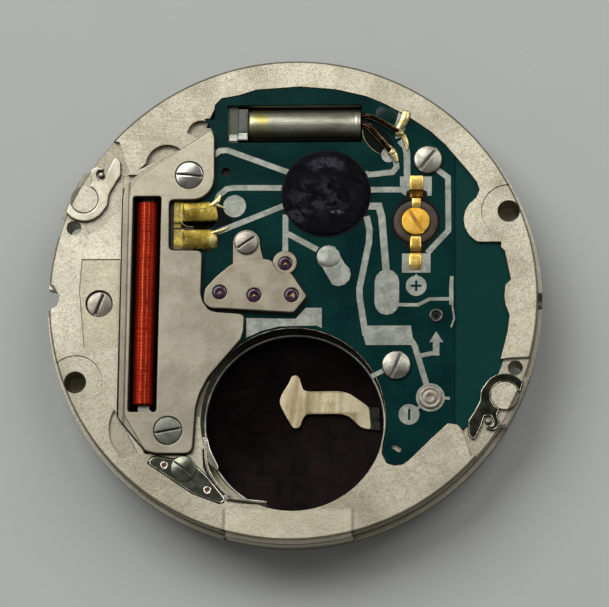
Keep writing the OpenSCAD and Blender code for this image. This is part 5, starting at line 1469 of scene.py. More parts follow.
@dataclass
class BasePlate(SubAssembly):
    """The main plate with its bearings, stop pins and the rim screw."""

    rounding: float = 0.022
    well: Pair = (0.13, -6.5)
    well_r: float = 4.8
    floor_z: float = 0.46
    rim_screw: SlottedScrew = SlottedScrew((-10.15, -0.35), 0.68, 1.61, 1.89, 70, 0.17, 0.11, 0.06, 0.06,
                                           1.01)
    stones: Line = ((-3.773, 0.158), (-1.97, 0.0), (-0.37, 1.741))
    pins: Line = ((-10.218, 6.61), (10.218, -6.61))
    casing_holes: Line = ((11.293, 4.563), (-11.293, -4.563))
    hole_land: float = 1.99

    def casing_lands(self) -> Shape:
        """Shallow lands round the two casing holes, cut off at the body's edge.

        The hole lies d from the plate's centre. Its recess, radius r, and the body, radius R, cross at
        cos a = (R^2 - d^2 - r^2) / 2dr seen from the hole, and at cos b = (d^2 + R^2 - r^2) / 2dR seen
        from the plate's centre.

        Returns:
            Both lands.
        """
        wide, body, bore, foot, chamfer = 1.412, 12.795, 0.58, 1.7, 0.008
        profile = np.array([[0, foot], [0, self.hole_land - chamfer], [chamfer, self.hole_land]])
        lands = []
        for centre in self.casing_holes:
            away, way = math.hypot(*centre), math.degrees(math.atan2(centre[1], centre[0]))
            a = math.degrees(math.acos((body ** 2 - away ** 2 - wide ** 2) / (2 * away * wide)))
            b = math.degrees(math.acos((away ** 2 + body ** 2 - wide ** 2) / (2 * away * body)))
            recess = arc(centre, wide, way + a, way + 360 - a, 48)
            edge = arc((0, 0), body, way - b, way + b, 10)[1:-1]
            lands.append(slab(np.array(recess + edge), profile, [circle(centre, bore, 56)]))
        return joined(lands)

    def well_liner(self) -> Shape:
        """The bright bead at the foot of the well's wall: a turned ring with a rounded crest.

        Returns:
            The ring.
        """
        outer, inner, low = self.well_r - 0.005, self.well_r - 0.17, self.floor_z + 0.02
        a = np.linspace(0, np.pi, 9)
        middle, half = (outer + inner) / 2, (outer - inner) / 2
        crest = [(middle + half * math.cos(t), low + 0.16 + 0.07 * math.sin(t)) for t in a]
        return turned([(inner, low), (outer, low)] + crest, self.well, 160, closed=True)

    def well_sheet(self) -> Shape:
        """The insulating sheet: a disc on a polar grid, cockled by slow waves 0.012 high.

        Returns:
            The sheet.
        """
        ripple, radius = waves(5, 7, 0.06, 0.3), self.well_r - 0.07
        s, a = np.linspace(0, 1, 26)[:, None], angles(120)
        x, y = self.well[0] + s * radius * np.cos(a), self.well[1] + s * radius * np.sin(a)
        upper = np.stack([x, y, self.floor_z + 0.045 + 0.012 * ripple(x, y) * (1 - s ** 4)], axis=2)
        low = np.full_like(x[:1], self.floor_z)
        edge = np.stack([x[-1:], y[-1:], low], axis=2)
        middle = np.stack([0 * low + self.well[0], 0 * low + self.well[1], low], axis=2)
        return skin(np.concatenate([upper, edge, middle]), flip=True)

    def build(self) -> None:
        """Dress the plate and put its small parts on it."""
        self.dress("main_plate", NICKEL_PLATE, self.rounding)
        stones = joined(jewel(centre, 0.75, 0.93) for centre in self.stones)
        self.place("plate_stones", stones, RUBY, instead_of=["plate_jewels"])
        pin = [(0.0, 1.25), (0.115, 1.25), (0.115, 2.03), (0.1, 2.055), (0.06, 2.068), (0.0, 2.07)]
        self.place("stop_pins", turned_at(self.pins, pin, 32), STEEL_DULL_SCREW, instead_of=["clamp_pins"])
        # Painted shade: a dark ring in the gap round each stop pin.
        gap = box_corners(0.115, 1.855, 0.165, 1.876)
        self.place("stop_pin_gaps", turned_at(self.pins, gap, 32, closed=True), SHADE_LINE)
        self.place("casing_lands", self.casing_lands(), NICKEL_PLATE)
        self.place("rim_recess_screw", self.rim_screw.head(), STEEL_DULL_SCREW, instead_of=["rim_screw"])
        self.place("rim_screw_slot_shade", self.rim_screw.slot_shade_film(), SLOT_DARK_SHADE)
        self.place("well_bead", self.well_liner(), NICKEL_SLOT)
        self.place("well_sheet", self.well_sheet(), WELL_FILM, instead_of=["battery_insulator"])


@dataclass
class FootLock(SubAssembly):
    """A turning lock for a dial foot: a rounded claw with two prongs round its pivot."""

    body: Body = Body.LOCK_A
    node: str = "dial_foot_clamp_a"
    finish: Finish = NICKEL_LOCK
    flip: float = 1.0
    pivot: Pair = (-11.078, 5.27)
    low: float = 1.88
    high: float = 2.06

    def outline(self) -> Points:
        """The claw's loop about its pivot: two arcs round it, a finger, and corners rounded by 0.09.

        Returns:
            The loop.
        """
        reach, hub = 1.18, 0.75
        corners = ([(1.66, 2.3), (1.86, 2.02), (1.88, 1.32), (1.58, 0.86), (1.28, 0.28), (1.22, -0.3)]
                   + arc((0, 0), reach, -28, -140, 10) + [(-0.94, -0.76), (-0.8, -0.24)]
                   + arc((0, 0), hub, 196, 428, 18)
                   + [(0.42, 0.98), (0.3, 1.4), (0.34, 1.66), (0.62, 1.8), (0.92, 1.74), (0.96, 1.58),
                      (0.66, 1.6), (0.56, 1.38), (0.7, 1.04), (1.06, 1.04), (1.2, 1.5), (1.5, 2.18)])
        return soften(corners, 0.09, 4)

    def build(self) -> None:
        """Build the claw in place of its node, with a dark line of painted shade under it and a painted
        highlight along its upper edge.
        """
        loop = (self.outline() + np.array(self.pivot)) * self.flip
        claw = slab(loop, edge_profile(self.low, self.high, 0.02, 0.055, 5))
        self.place(self.node + "_claw", claw, self.finish, self.body, [self.node])
        under = sheet_line(loop, 0.024, self.low - 0.012, self.low + 0.004)
        self.place(self.node + "_outline", under, SHADE_LINE, self.body)
        edge = edge_highlight(loop, 0.022, self.high - 0.016, 0.014)
        self.place(self.node + "_edge", edge, SPRING_STEEL_AND_HIGHLIGHT, self.body, even=False)


Strip = tuple[Line, Sequence[float], Sequence[float], float, float]


@dataclass
class CircuitBoard(SubAssembly):
    """The board with its tracks, chip, crystal, trimmer, rivets and screws."""

    top: float = 2.02
    chip: Pair = (1.72, 5.53)
    chip_r: float = 2.32
    chip_h: float = 0.48
    can_from: float = -2.43
    can_to: float = 3.53
    can_y: float = 9.335
    can_z: float = 1.45
    can_r: float = 0.89
    trimmer: Pair = (6.44, 3.97)
    eyelet: Pair = (7.53, -1.04)
    screws: Sequence[SlottedScrew] = tuple(
        SlottedScrew(centre, 0.75, 2.05, 2.3, slot_at, 0.17, 0.12, 0.08, 0.08, 1.26)
        for centre, slot_at in (((7.07, 7.33), 54), ((5.47, -3.68), 71)))
    strips: Sequence[Strip] = (
        (((6.46, 2.12), (6.3, 2.145), (6.0, 2.15), (5.72, 2.13)),
         (6.15, 6.12, 6.12, 6.14), (6.79, 6.82, 6.82, 6.8), 0.06, 0.006),
        (((5.22, 2.17), (5.0, 2.21), (4.8, 2.2), (4.66, 2.17)),
         (6.25, 6.24, 6.24, 6.26), (6.7, 6.7, 6.69, 6.66), 0.05, 0.002),
        (((3.22, 2.17), (3.05, 2.2), (2.6, 2.2), (2.38, 2.15)),
         (6.22, 6.17, 6.15, 6.16), (6.68, 6.71, 6.74, 6.72), 0.05, 0.003),
        (((2.26, 2.1), (2.1, 2.13), (1.7, 2.14), (1.42, 2.11)),
         (6.14, 6.11, 6.1, 6.13), (6.71, 6.74, 6.74, 6.7), 0.06, 0.006))
    steps: Sequence[Strip] = (
        (((5.74, 2.13), (5.62, 2.08), (5.36, 2.08), (5.2, 2.17)),
         (6.1, 6.13, 6.13, 6.22), (6.84, 6.81, 6.81, 6.74), 0.05, 0.003),
        (((2.4, 2.15), (2.36, 2.1), (2.3, 2.09), (2.24, 2.1)),
         (6.14, 6.14, 6.14, 6.12), (6.76, 6.76, 6.76, 6.74), 0.05, 0.0))
    flanks: Sequence[Line] = (
        ((5.76, 5.02), (6.16, 5.16), (6.14, 5.7), (5.96, 5.66), (5.9, 5.34)),
        ((7.12, 5.02), (7.06, 5.34), (7.0, 5.66), (6.8, 5.7), (6.78, 5.16)),
        ((5.84, 2.9), (5.95, 2.44), (6.1, 2.36), (6.12, 2.8)),
        ((7.04, 2.9), (6.78, 2.8), (6.78, 2.36), (6.93, 2.44)))

    def chip_drop(self) -> Shape:
        """The resin dome: a cap on a polar grid whose skin is wrinkled by three sets of waves.

        Returns:
            The dome.
        """
        slow, folds, fine = waves(3, 7, 0.12, 0.34), waves(9, 9, 0.3, 0.8), waves(4, 14, 1.0, 2.2)

        def ripple(x: Points, y: Points) -> Points:
            """Swells 0.035, sharp folds 0.025 where a wave crosses zero, and fine wrinkles 0.009."""
            crest = np.clip(1 - np.abs(folds(x, y)) * 5.0, 0, 1) ** 1.5
            return 0.035 * slow(x, y) + 0.025 * crest + 0.009 * fine(x, y) - 0.05

        return bead(self.chip, self.chip_r - 0.02, self.chip_h, self.top,
                    [(3, 0.006, 0.4), (5, 0.004, 1.1)], 60, 200, ripple)

    def can(self) -> Shape:
        """The can: radius along X steps in at the rolled rim and rounds over at the closed end.

        Returns:
            The can.
        """
        r, x0, x1 = self.can_r, self.can_from, self.can_to
        a = np.linspace(0, np.pi / 2, 6)
        closed = [(0.0, x0)] + [(r - 0.14 + 0.14 * math.sin(t), x0 + 0.14 * (1 - math.cos(t))) for t in a]
        groove = r - 0.006
        body = [(r, x0 + 0.4), (r, x1 - 0.34), (groove, x1 - 0.32), (groove, x1 - 0.29), (r, x1 - 0.27)]
        rolled = [(r, x1 - 0.05), (r - 0.02, x1 - 0.015), (r - 0.06, x1), (r - 0.1, x1 - 0.02),
                  (r - 0.11, x1 - 0.1), (0.0, x1 - 0.1)]
        spun, axis = turned(closed + body + rolled, (0, 0), 72), np.array([0, self.can_y, self.can_z])
        return spun.moved(lambda p: p[:, [2, 1, 0]] * np.array([1, 1, -1]) + axis)

    def lead_lines(self) -> tuple[Points, Points]:
        """The middle lines of the two wires, from the can over the board to their pads.

        Returns:
            Both lines.
        """
        upper = smooth_line([(3.62, 9.72, 2.14), (4.05, 9.66, 2.22), (4.6, 9.38, 2.25), (5.15, 9.06, 2.22),
                             (5.5, 8.88, 2.14)], 40)
        lower = smooth_line([(3.62, 9.26, 2.12), (3.9, 9.12, 2.2), (4.24, 8.78, 2.25), (4.62, 8.36, 2.24),
                             (4.92, 8.02, 2.17), (5.04, 7.84, 2.11)], 40)
        return upper, lower

    def lead_highlights(self) -> Shape:
        """Painted highlights: bright threads along both sides of each wire, 0.115 from its middle.

        Returns:
            All four threads.
        """
        threads = []
        for line in self.lead_lines():
            side = np.column_stack([leftward(unit(np.gradient(line[:, :2], axis=0))), np.zeros(len(line))])
            threads += [tube(line[3:] + side[3:] * reach + np.array([0, 0, 0.01]), 0.022, 8)
                        for reach in (-0.115, 0.115)]
        return joined(threads)

    def header(self) -> Shape:
        """The dark glass end of the can, narrowing towards the wires."""
        loop = [(3.46, 9.98), (3.66, 9.98), (3.86, 9.84), (3.95, 9.62), (3.95, 9.34), (3.8, 9.06),
                (3.62, 8.96), (3.46, 8.96)]
        return block(loop, 0.1, 1.8, 2.1, 0.1)

    def flux(self) -> Shape:
        """Solder drawn out along the pads: flat runs of varying width, with lobed drops on them.

        Returns:
            All the solder.
        """
        floor = self.top + 0.04
        runs = (([(5.9, 9.92), (5.84, 9.6), (5.68, 9.28), (5.5, 8.98)], (0.24, 0.27, 0.24, 0.16)),
                ([(5.36, 9.1), (5.58, 8.84), (5.8, 8.56), (5.94, 8.2), (5.97, 7.86)],
                 (0.12, 0.21, 0.16, 0.13, 0.07)),
                ([(5.0, 8.1), (5.14, 7.8), (5.3, 7.56), (5.42, 7.24)], (0.13, 0.24, 0.22, 0.12)))
        return joined([flat_runs(runs, floor, 2.055, 0.45),
                       bead((5.56, 8.8), 0.24, 0.15, floor, [(2, 0.2, 0.9), (3, 0.16, 1.2)]),
                       bead((5.16, 7.76), 0.22, 0.14, floor, [(2, 0.18, 2.2), (3, 0.14, 0.2)]),
                       bead((5.78, 9.5), 0.2, 0.09, floor, [(2, 0.22, 1.2), (3, 0.1, 0.2)])])

    def pool_line(self, ring: Points) -> Points:
        """Points of the unit circle carried to the pool's ellipse, which is turned by -47 degrees."""
        return spin(ring * np.array([1.02, 0.58]), -47) + np.array([4.44, 8.46])

    def pool(self) -> Shape:
        """A shallow dark ellipse under the leads, painted shade where an opening in the board shows dark."""
        return slab(self.pool_line(circle((0, 0), 1.0)), edge_profile(2.0, 2.045, 0.0, 0.02))

    def pool_edge(self) -> Shape:
        """A fine gilt line round the lower side of the pool."""
        line = self.pool_line(np.array(arc((0, 0), 1.01, 150, 345, 49)))
        return tube(np.column_stack([line, np.full(len(line), 2.045)]), 0.016, 10)

    def skirt(self) -> Shape:
        """The board's lower part carried on under the plate's lobes, so that no gap shows.

        Returns:
            The skirt.
        """
        corners = [(8.4, 7.75), (9.45, 6.8), (10.0, 5.75), (9.75, 5.15), (9.2, 4.7), (9.1, 4.2),
                   (9.4, 3.55), (9.95, 3.1), (10.75, 2.95), (11.25, 2.45), (11.35, 1.45), (11.45, 0.7),
                   (11.4, -0.75), (11.4, -1.7), (11.15, -2.7), (10.95, -3.6), (10.5, -4.65),
                   (9.95, -5.7), (9.45, -6.65), (9.05, -7.0), (8.4, -6.9)]
        return block(corners, 0.3, 1.7, 1.848, 0.02)

    def ceramic_ring(self) -> Shape:
        """The trimmer's ring: a turned profile with a rounded shoulder and a bevelled bore."""
        profile = [(0.3, 1.49), (1.16, 1.49), (1.16, 2.06), (1.145, 2.11), (1.1, 2.135), (0.86, 2.14),
                   (0.8, 2.12), (0.34, 2.12), (0.3, 2.08)]
        return turned(profile, self.trimmer, 72, closed=True)

    def bent_strip(self, path: Line, left: Sequence[float], right: Sequence[float],
                   thick: float, ripple: float = 0.0) -> Shape:
        """A sheet strip that runs along Y and bends up and down.

        At each step along the smooth line (y, z) the strip spans from left to right; its lower face
        lies the thickness below, and small waves dent both.

        Args:
            path: places along Y with their heights.
            left, right: the strip's sides at those places.
            thick: sheet thickness.
            ripple: height of the dents.
        Returns:
            The closed strip.
        """
        line = smooth_line(path, 40)
        t, knots = np.linspace(0, 1, 40), np.linspace(0, 1, len(path))
        lo, hi = np.interp(t, knots, left)[:, None], np.interp(t, knots, right)[:, None]
        across = np.concatenate([[0.0, 0.03], np.linspace(0.1, 0.9, 9), [0.97, 1.0]])
        x, y = lo + (hi - lo) * across, line[:, :1] + 0 * across
        z = line[:, 1:] + ripple * waves(11, 8, 0.3, 1.1)(x, y) - 0.02 * np.abs(2 * across - 1) ** 8
        lower = np.stack([x, y, z - thick], axis=2)
        hoop = np.concatenate([np.stack([x, y, z], axis=2), lower[:, ::-1]], axis=1)
        first, last = (0 * end + end.mean(axis=1, keepdims=True) for end in (hoop[:1], hoop[-1:]))
        return skin(np.concatenate([first, hoop, last]))

    def rivets(self) -> tuple[Shape, Shape, Shape]:
        """Three riveted contacts: turned heads with raised rims and hollows, and one low dome.

        Returns:
            The big head, the eyelet and the dome.
        """
        z = self.top + 0.03
        big = turned([(0, z), (0.6, z), (0.6, z + 0.05), (0.56, z + 0.08), (0.48, z + 0.085),
                      (0.42, z + 0.06), (0.36, z + 0.06), (0.31, z + 0.08), (0.2, z + 0.08),
                      (0.13, z + 0.055), (0, z + 0.05)], (7.24, -5.37), 48)
        small = turned([(0, 2.02), (0.38, 2.02), (0.38, 2.07), (0.34, 2.11), (0.27, 2.12), (0.22, 2.09),
                        (0.18, 2.03), (0, 2.03)], self.eyelet, 40)
        dent = waves(8, 7, 0.5, 1.5)
        low = bead((1.88, 2.13), 0.6, 0.075, z, [(2, 0.03, 0.3), (3, 0.02, 1.0)], 18, 64,
                   lambda x, y: 0.028 * dent(x, y) - 0.01)
        return big, small, low

    def build(self) -> None:
        """Dress the board and its tracks, and set every component on it."""
        self.dress("circuit_board", BOARD_GREEN)
        self.dress("circuit_tracks", TIN_TRACK)
        self.build_chip_and_crystal()
        self.build_trimmer()
        self.build_contacts()
        self.build_slot()

    def build_chip_and_crystal(self) -> None:
        """The chip, the crystal with its leads, solder and a lacquer lump, painted shade and highlights, and
        the board's hidden parts.
        """
        self.place("chip_drop", self.chip_drop(), CHIP_RESIN, instead_of=["ic_blob"])
        halo = sheet_line(circle(self.chip, self.chip_r, 96), 0.05, 2.03, 2.056)
        self.place("chip_halo", halo, BLACK_GAP)
        self.place("crystal_can", self.can(), TIN_CAN, instead_of=["quartz_can"], fold=50)
        self.place("crystal_header", self.header(), BLACK_GAP)
        # The leads are painted dark as shade, with painted highlights along their sides.
        leads = joined(tube(line, 0.125) for line in self.lead_lines())
        self.place("crystal_leads", leads, SHADED_GILT_LEAD, instead_of=["quartz_leads"], even=False)
        self.place("lead_highlights", self.lead_highlights(), GILT_SOLDER_AND_HIGHLIGHT, even=False)
        self.place("solder_flows", self.flux(), GILT_SOLDER_AND_HIGHLIGHT, instead_of=["solder_joints"], even=False, fold=60)
        # Painted shade: a dark ellipse where the board has an opening under the leads, with a fine gilt line
        # round it.
        self.place("opening_shade_pool", self.pool(), POOL)
        self.place("pool_edge", self.pool_edge(), GILT_SOLDER_AND_HIGHLIGHT, even=False)
        self.place("board_skirt", self.skirt(), BOARD_GREEN)
        tongue = block(box_corners(-4.95, 5.04, -4.26, 6.2), 0.05, 1.9, 2.016, 0.0, 1)
        self.place("board_tongue", tongue, BOARD_GREEN)
        self.place("lacquer_lump", bead((4.86, 9.84), 0.52, 0.07, self.top, [(2, 0.16, 0.6)], 10), LUMP)

    def build_trimmer(self) -> None:
        """The trimmer: its ring, bent strips with painted shade on their steps, a dark gap of painted shade
        round it, and the slotted disc that turns, with painted shade in its slot.
        """
        self.place("trimmer_ring", self.ceramic_ring(), CERAMIC, instead_of=["trimmer_body"])
        strips = joined(self.bent_strip(*row) for row in self.strips)
        self.place("trimmer_strips", strips, GILT_STRIP, instead_of=["trimmer_terminals"])
        # Painted shade: a dark ring round the ceramic ring and dark flanks beside the strips' steps.
        ring = turned(box_corners(1.14, 2.0, 1.3, 2.028), self.trimmer, 72, closed=True)
        gap = joined([ring] + [block(flank, 0.05, 2.03, 2.058, 0.01, 2) for flank in self.flanks])
        self.place("trimmer_gap", gap, BLACK_GAP)
        # The strips' steps are gilt painted darker as shade on their slopes.
        self.place("trimmer_steps", joined(self.bent_strip(*row) for row in self.steps), GILT_SLOPE_SHADE)
        disc = SlottedScrew(self.trimmer, 0.74, 2.16, 2.32, -60, 0.2, 0.09, 0.02, 0.05, 1.86, 0.25)
        self.place("trimmer_disc_head", disc.head(), GILT_DISC, Body.TRIMMER, ["trimmer_rotor"], fold=35)
        self.place("trimmer_slot_shade", disc.slot_shade_film(0.94), GILT_SLOT_SHADE, Body.TRIMMER)

    def build_contacts(self) -> None:
        """Three contacts, painted shade in the eyelet's bore, and the two screws with painted shade in their
        slots.
        """
        rivet, eyelet, contact = self.rivets()
        self.place("riveted_contact", rivet, TIN_RIVET, instead_of=["contact_rivets"])
        self.place("board_eyelet", eyelet, TIN_EYELET)
        self.place("flat_contact", contact, TIN_TRACK)
        # Painted shade in the eyelet's bore.
        bore = slab(circle(self.eyelet, 0.15, 32), edge_profile(2.02, 2.04, 0.0, 0.0, 1))
        self.place("eyelet_bore", bore, BLACK_GAP)
        heads = joined(screw.head() for screw in self.screws)
        self.place("board_screw_heads", heads, STEEL_SCREW, instead_of=["circuit_screws"], fold=35)
        self.place("board_screw_slot_shade", joined(screw.slot_shade_film() for screw in self.screws), SLOT_SHADE)

    def build_slot(self) -> None:
        """Steps of bare metal in the slot at the crystal's closed end."""
        steps = joined([block(box_corners(-3.0, 8.5, -2.48, 8.92), 0.04, 1.74, 1.93, 0.04),
                        block(box_corners(-3.5, 8.48, -3.02, 8.86), 0.06, 1.74, 1.8, 0.03)])
        self.place("slot_step", steps, NICKEL_SLOT)
        ledge = block(box_corners(-3.0, 8.94, -2.48, 10.24), 0.04, 1.7, 1.84, 0.03)
        self.place("slot_ledge", ledge, NICKEL_SHADE)


@dataclass
class CoilUnit(SubAssembly):
    """The coil, its core, terminals, stator, and the cover over them."""

    axis_x: float = -7.75
    axis_z: float = 1.51
    start_y: float = 5.22
    length: float = 11.0
    half_width: float = 0.565
    half_height: float = 0.515
    pitch: float = 0.078
    cover_low: float = 2.07
    cover_high: float = 2.37
    cover_step: float = 0.34
    window: Sequence[float] = (-8.45, -6.19, -6.95, 5.35)
    upper_tab: tuple = ((-6.29, -4.02, 3.72, 5.12), 0.1, 31)
    lower_tab: tuple = ((-6.27, -4.0, 2.58, 3.62), 0.03, 37)
    outline: Line = (
        (-4.38, 8.94), (-4.22, 8.58), (-4.18, 6.3), (-4.26, 5.88), (-4.49, 5.52), (-4.8, 5.28),
        (-5.14, 5.18),
        (-6.36, 5.16), (-6.5, 5.08), (-6.54, 4.9), (-6.5, 2.62), (-6.44, 2.48), (-6.3, 2.42), (-4.98, 2.4),
        (-4.82, 2.34), (-4.75, 2.18), (-4.78, 0.1), (-4.68, -0.3), (-4.36, -0.76), (-3.98, -0.9),
        (-2.72, -0.99), (-2.54, -1.06), (-2.47, -1.2), (-2.5, -1.9), (-2.62, -2.34), (-3.6, -3.5),
        (-4.3, -4.36), (-4.72, -5.2), (-4.92, -5.95), (-5.04, -8.08), (-5.16, -8.28), (-5.36, -8.36),
        (-6.9, -8.36), (-7.48, -8.22), (-8.95, -6.5), (-9.0, 5.3), (-8.92, 5.86), (-8.42, 6.44))
    screws: Sequence[SlottedScrew] = (
        SlottedScrew((-5.5, 6.49), 0.72, 2.19, 2.4, -6, 0.11, 0.12, 0.045, 0.05, 1.1),
        SlottedScrew((-6.33, -7.17), 0.72, 2.19, 2.39, 11, 0.11, 0.12, 0.03, 0.05, 1.1))

    def winding(self) -> Shape:
        """The wound wire as one ridged surface along -Y.

        The cross-section is |x/a|^n + |z/b|^n = 1 with n = 2.7. Along the coil its size follows
        |sin(pi y / pitch)| between turns, with a seeded size for each turn, and drops to nothing
        over the last turns at both ends.

        Returns:
            The winding.
        """
        per_turn, turns, power = 8, int(self.length / self.pitch), 2 / 2.7
        y = np.linspace(0, self.length, turns * per_turn + 1)[:, None]
        turn = np.minimum((y / self.pitch).astype(int), turns - 1)
        rng = np.random.default_rng(21)
        size = 1 + rng.normal(0, 0.003, turn.max() + 2)[turn] + 0.012 * np.sin(y * 0.9) * np.sin(y * 2.3 + 1)
        size = size - 0.018 * (1 - np.abs(np.sin(np.pi * y / self.pitch)) ** 0.8)
        size = size * (1 - 0.9 * np.clip(1 - np.minimum(y, self.length - y) / 0.1, 0, 1) ** 3)
        size[[0, -1]] = 0.0
        cos, sin = np.cos(angles(44)), np.sin(angles(44))
        x = self.half_width * np.sign(cos) * np.abs(cos) ** power
        z = self.half_height * np.sign(sin) * np.abs(sin) ** power
        sway = 0.012 * np.sin(y * 0.55 + 0.6)
        return skin(np.stack([self.axis_x + sway + size * x, self.start_y - y + 0 * x,
                              self.axis_z + size * z], axis=2), flip=True)

    def cover(self, line_only: bool = False) -> Shape:
        """The cover: a full lower layer, and a raised layer set in along the left side.

        Args:
            line_only: give only the thin dark sheet under the cover, painted shade round its edge.
        Returns:
            The shape.
        """
        base = np.array(self.outline)
        raised = base.copy()
        raised[-4:, 0] += self.cover_step
        raised[-4, 1] += 0.12
        raised[-3:, 1] -= 0.06
        openings = [circle(screw.centre, screw.radius + 0.025, 56) for screw in self.screws]
        openings.insert(0, soften(box_corners(*self.window), 0.16, 6))
        if line_only:
            return sheet_line(soften(base, 0.13), 0.045, 2.053, 2.062, openings)
        lower = edge_profile(self.cover_low, self.cover_high - 0.12, 0.02, 0.035)
        upper = edge_profile(self.cover_low + 0.05, self.cover_high, 0.0, 0.045, 5)
        return slab(soften(base, 0.13), lower, openings) + slab(soften(raised, 0.13), upper, openings)

    @staticmethod
    def tab_surface(box: Sequence[float], fold: float, seed: int, u: Points, v: Points) -> Points:
        """Points of a tab at u along X and v along Y, both 0 to 1.

        Height is 0.045 + hump sin(pi v)^0.6 past the crease, plus seeded dents; the front edge drops
        into the fold, and the right end narrows to a rounded tongue.

        Args:
            box: least and greatest x, least and greatest y.
            fold: how far the front edge drops.
            seed: fixes the dents.
            u, v: the places, of one shape.
        Returns:
            The points, x, y and z last.
        """
        x0, x1, y0, y1 = box
        past = np.clip((u - 0.16) / 0.12, 0, 1)
        past = past * past * (3 - 2 * past)
        narrow = 1 - 0.2 * np.clip((u - 0.82) / 0.18, 0, 1) ** 1.5
        middle = y0 + (y1 - y0) * 0.55
        x = x0 + (x1 - x0) * u + 0.05 * np.sin(5 * v) * past
        y = middle + ((y0 + (y1 - y0) * v) - middle) * narrow
        dent = waves(seed, 10, 0.3, 1.2)(x, y)
        z = 2.045 + past * 0.105 * np.clip(np.sin(np.pi * v), 0, 1) ** 0.6 + 0.02 * dent
        z = z - fold * np.clip(1 - v / 0.24, 0, 1) ** 1.4 - 0.05 * np.clip((u - 0.9) / 0.1, 0, 1) ** 2
        return np.stack([x, y, np.maximum(z, 2.022)], axis=-1)

    def tab(self, box: Sequence[float], fold: float, seed: int) -> Shape:
        """A soft gilt tab: the grid of tab_surface with a skirt and a flat underside.

        Args:
            box: least and greatest x, least and greatest y.
            fold: how far the front edge drops.
            seed: fixes the dents.
        Returns:
            The closed tab.
        """
        rows, cols = 44, 60
        v, u = np.meshgrid(np.linspace(0, 1, rows), np.linspace(0, 1, cols), indexing="ij")
        upper = self.tab_surface(box, fold, seed, u, v)
        rim = np.concatenate([upper[0, :], upper[1:, -1], upper[-1, -2::-1], upper[-2:0:-1, 0]])
        under = rim + np.array([0, 0, -0.022])
        skirt = np.stack([rim, under, 0 * under + under.mean(axis=0)])
        return skin(upper, ring_cols=False, flip=True) + skin(skirt, flip=True)

    def tab_seams(self) -> Shape:
        """Bright threads on the tabs, lines over their surface, and flat runs of solder to the tracks.

        Returns:
            Threads and runs.
        """
        loop = smooth_line([(0.82, 0.58), (0.77, 0.7), (0.42, 0.7), (0.22, 0.64), (0.17, 0.46), (0.18, 0.2),
                            (0.28, 0.06), (0.44, 0.03)], 60)
        crease = smooth_line([(0.02, 0.92), (0.12, 0.8), (0.17, 0.55), (0.26, 0.36)], 30)
        lift = np.array([0, 0, 0.006])
        runs = (([(-4.5, 4.86), (-4.2, 4.98), (-4.0, 5.16), (-3.86, 5.44)], (0.06, 0.17, 0.16, 0.07)),
                ([(-4.1, 4.94), (-3.86, 4.86), (-3.6, 4.72)], (0.12, 0.08, 0.03)),
                ([(-4.4, 3.36), (-4.14, 3.44), (-3.8, 3.54), (-3.36, 3.72)], (0.06, 0.12, 0.1, 0.04)))
        return joined([tube(self.tab_surface(*self.upper_tab, *loop.T) + lift, 0.02, 8),
                       tube(self.tab_surface(*self.lower_tab, *crease.T) + lift, 0.018, 8),
                       flat_runs(runs, 2.07, 2.075, 0.5)])

    def build(self) -> None:
        """Dress the inner parts and build the coil, its tabs, the cover and its screws."""
        self.dress("coil_core", IRON_CORE, 0.015)
        self.dress("stator", IRON_CORE, 0.012)
        self.dress("coil_flex", FLEX, 0.02)
        self.place("wound_coil", self.winding(), RED_WINDING, instead_of=["coil_winding"], even=False,
                   fold=70)
        tabs = self.tab(*self.upper_tab) + self.tab(*self.lower_tab)
        self.place("coil_tabs", tabs, GILT_TAB, instead_of=["coil_terminals"], even=False)
        self.place("tab_seams", self.tab_seams(), GILT_SOLDER_AND_HIGHLIGHT, even=False)
        pool = block([(-3.94, 4.8), (-3.63, 4.76), (-3.14, 4.09), (-3.32, 3.91), (-3.94, 3.72), (-4.2, 3.8),
                      (-4.2, 4.6)], 0.1, 2.0, 2.035, 0.01, 2)
        self.place("tab_pool", pool, POOL)
        self.place("cover_sheet", self.cover(), NICKEL_COVER, instead_of=["coil_cover"])
        # Painted shade: a thin dark line round the cover.
        self.place("cover_outline", self.cover(True), SHADE_LINE)
        upper, lower = self.screws
        self.place("cover_screw_upper", upper.head(), STEEL_FLAT_SCREW, instead_of=["cover_screws"], fold=35)
        self.place("cover_screw_lower", lower.head(), STEEL_GREY_SCREW, fold=35)
        self.place("cover_screw_slot_shade", upper.slot_shade_film() + lower.slot_shade_film(), SLOT_DARK_SHADE)


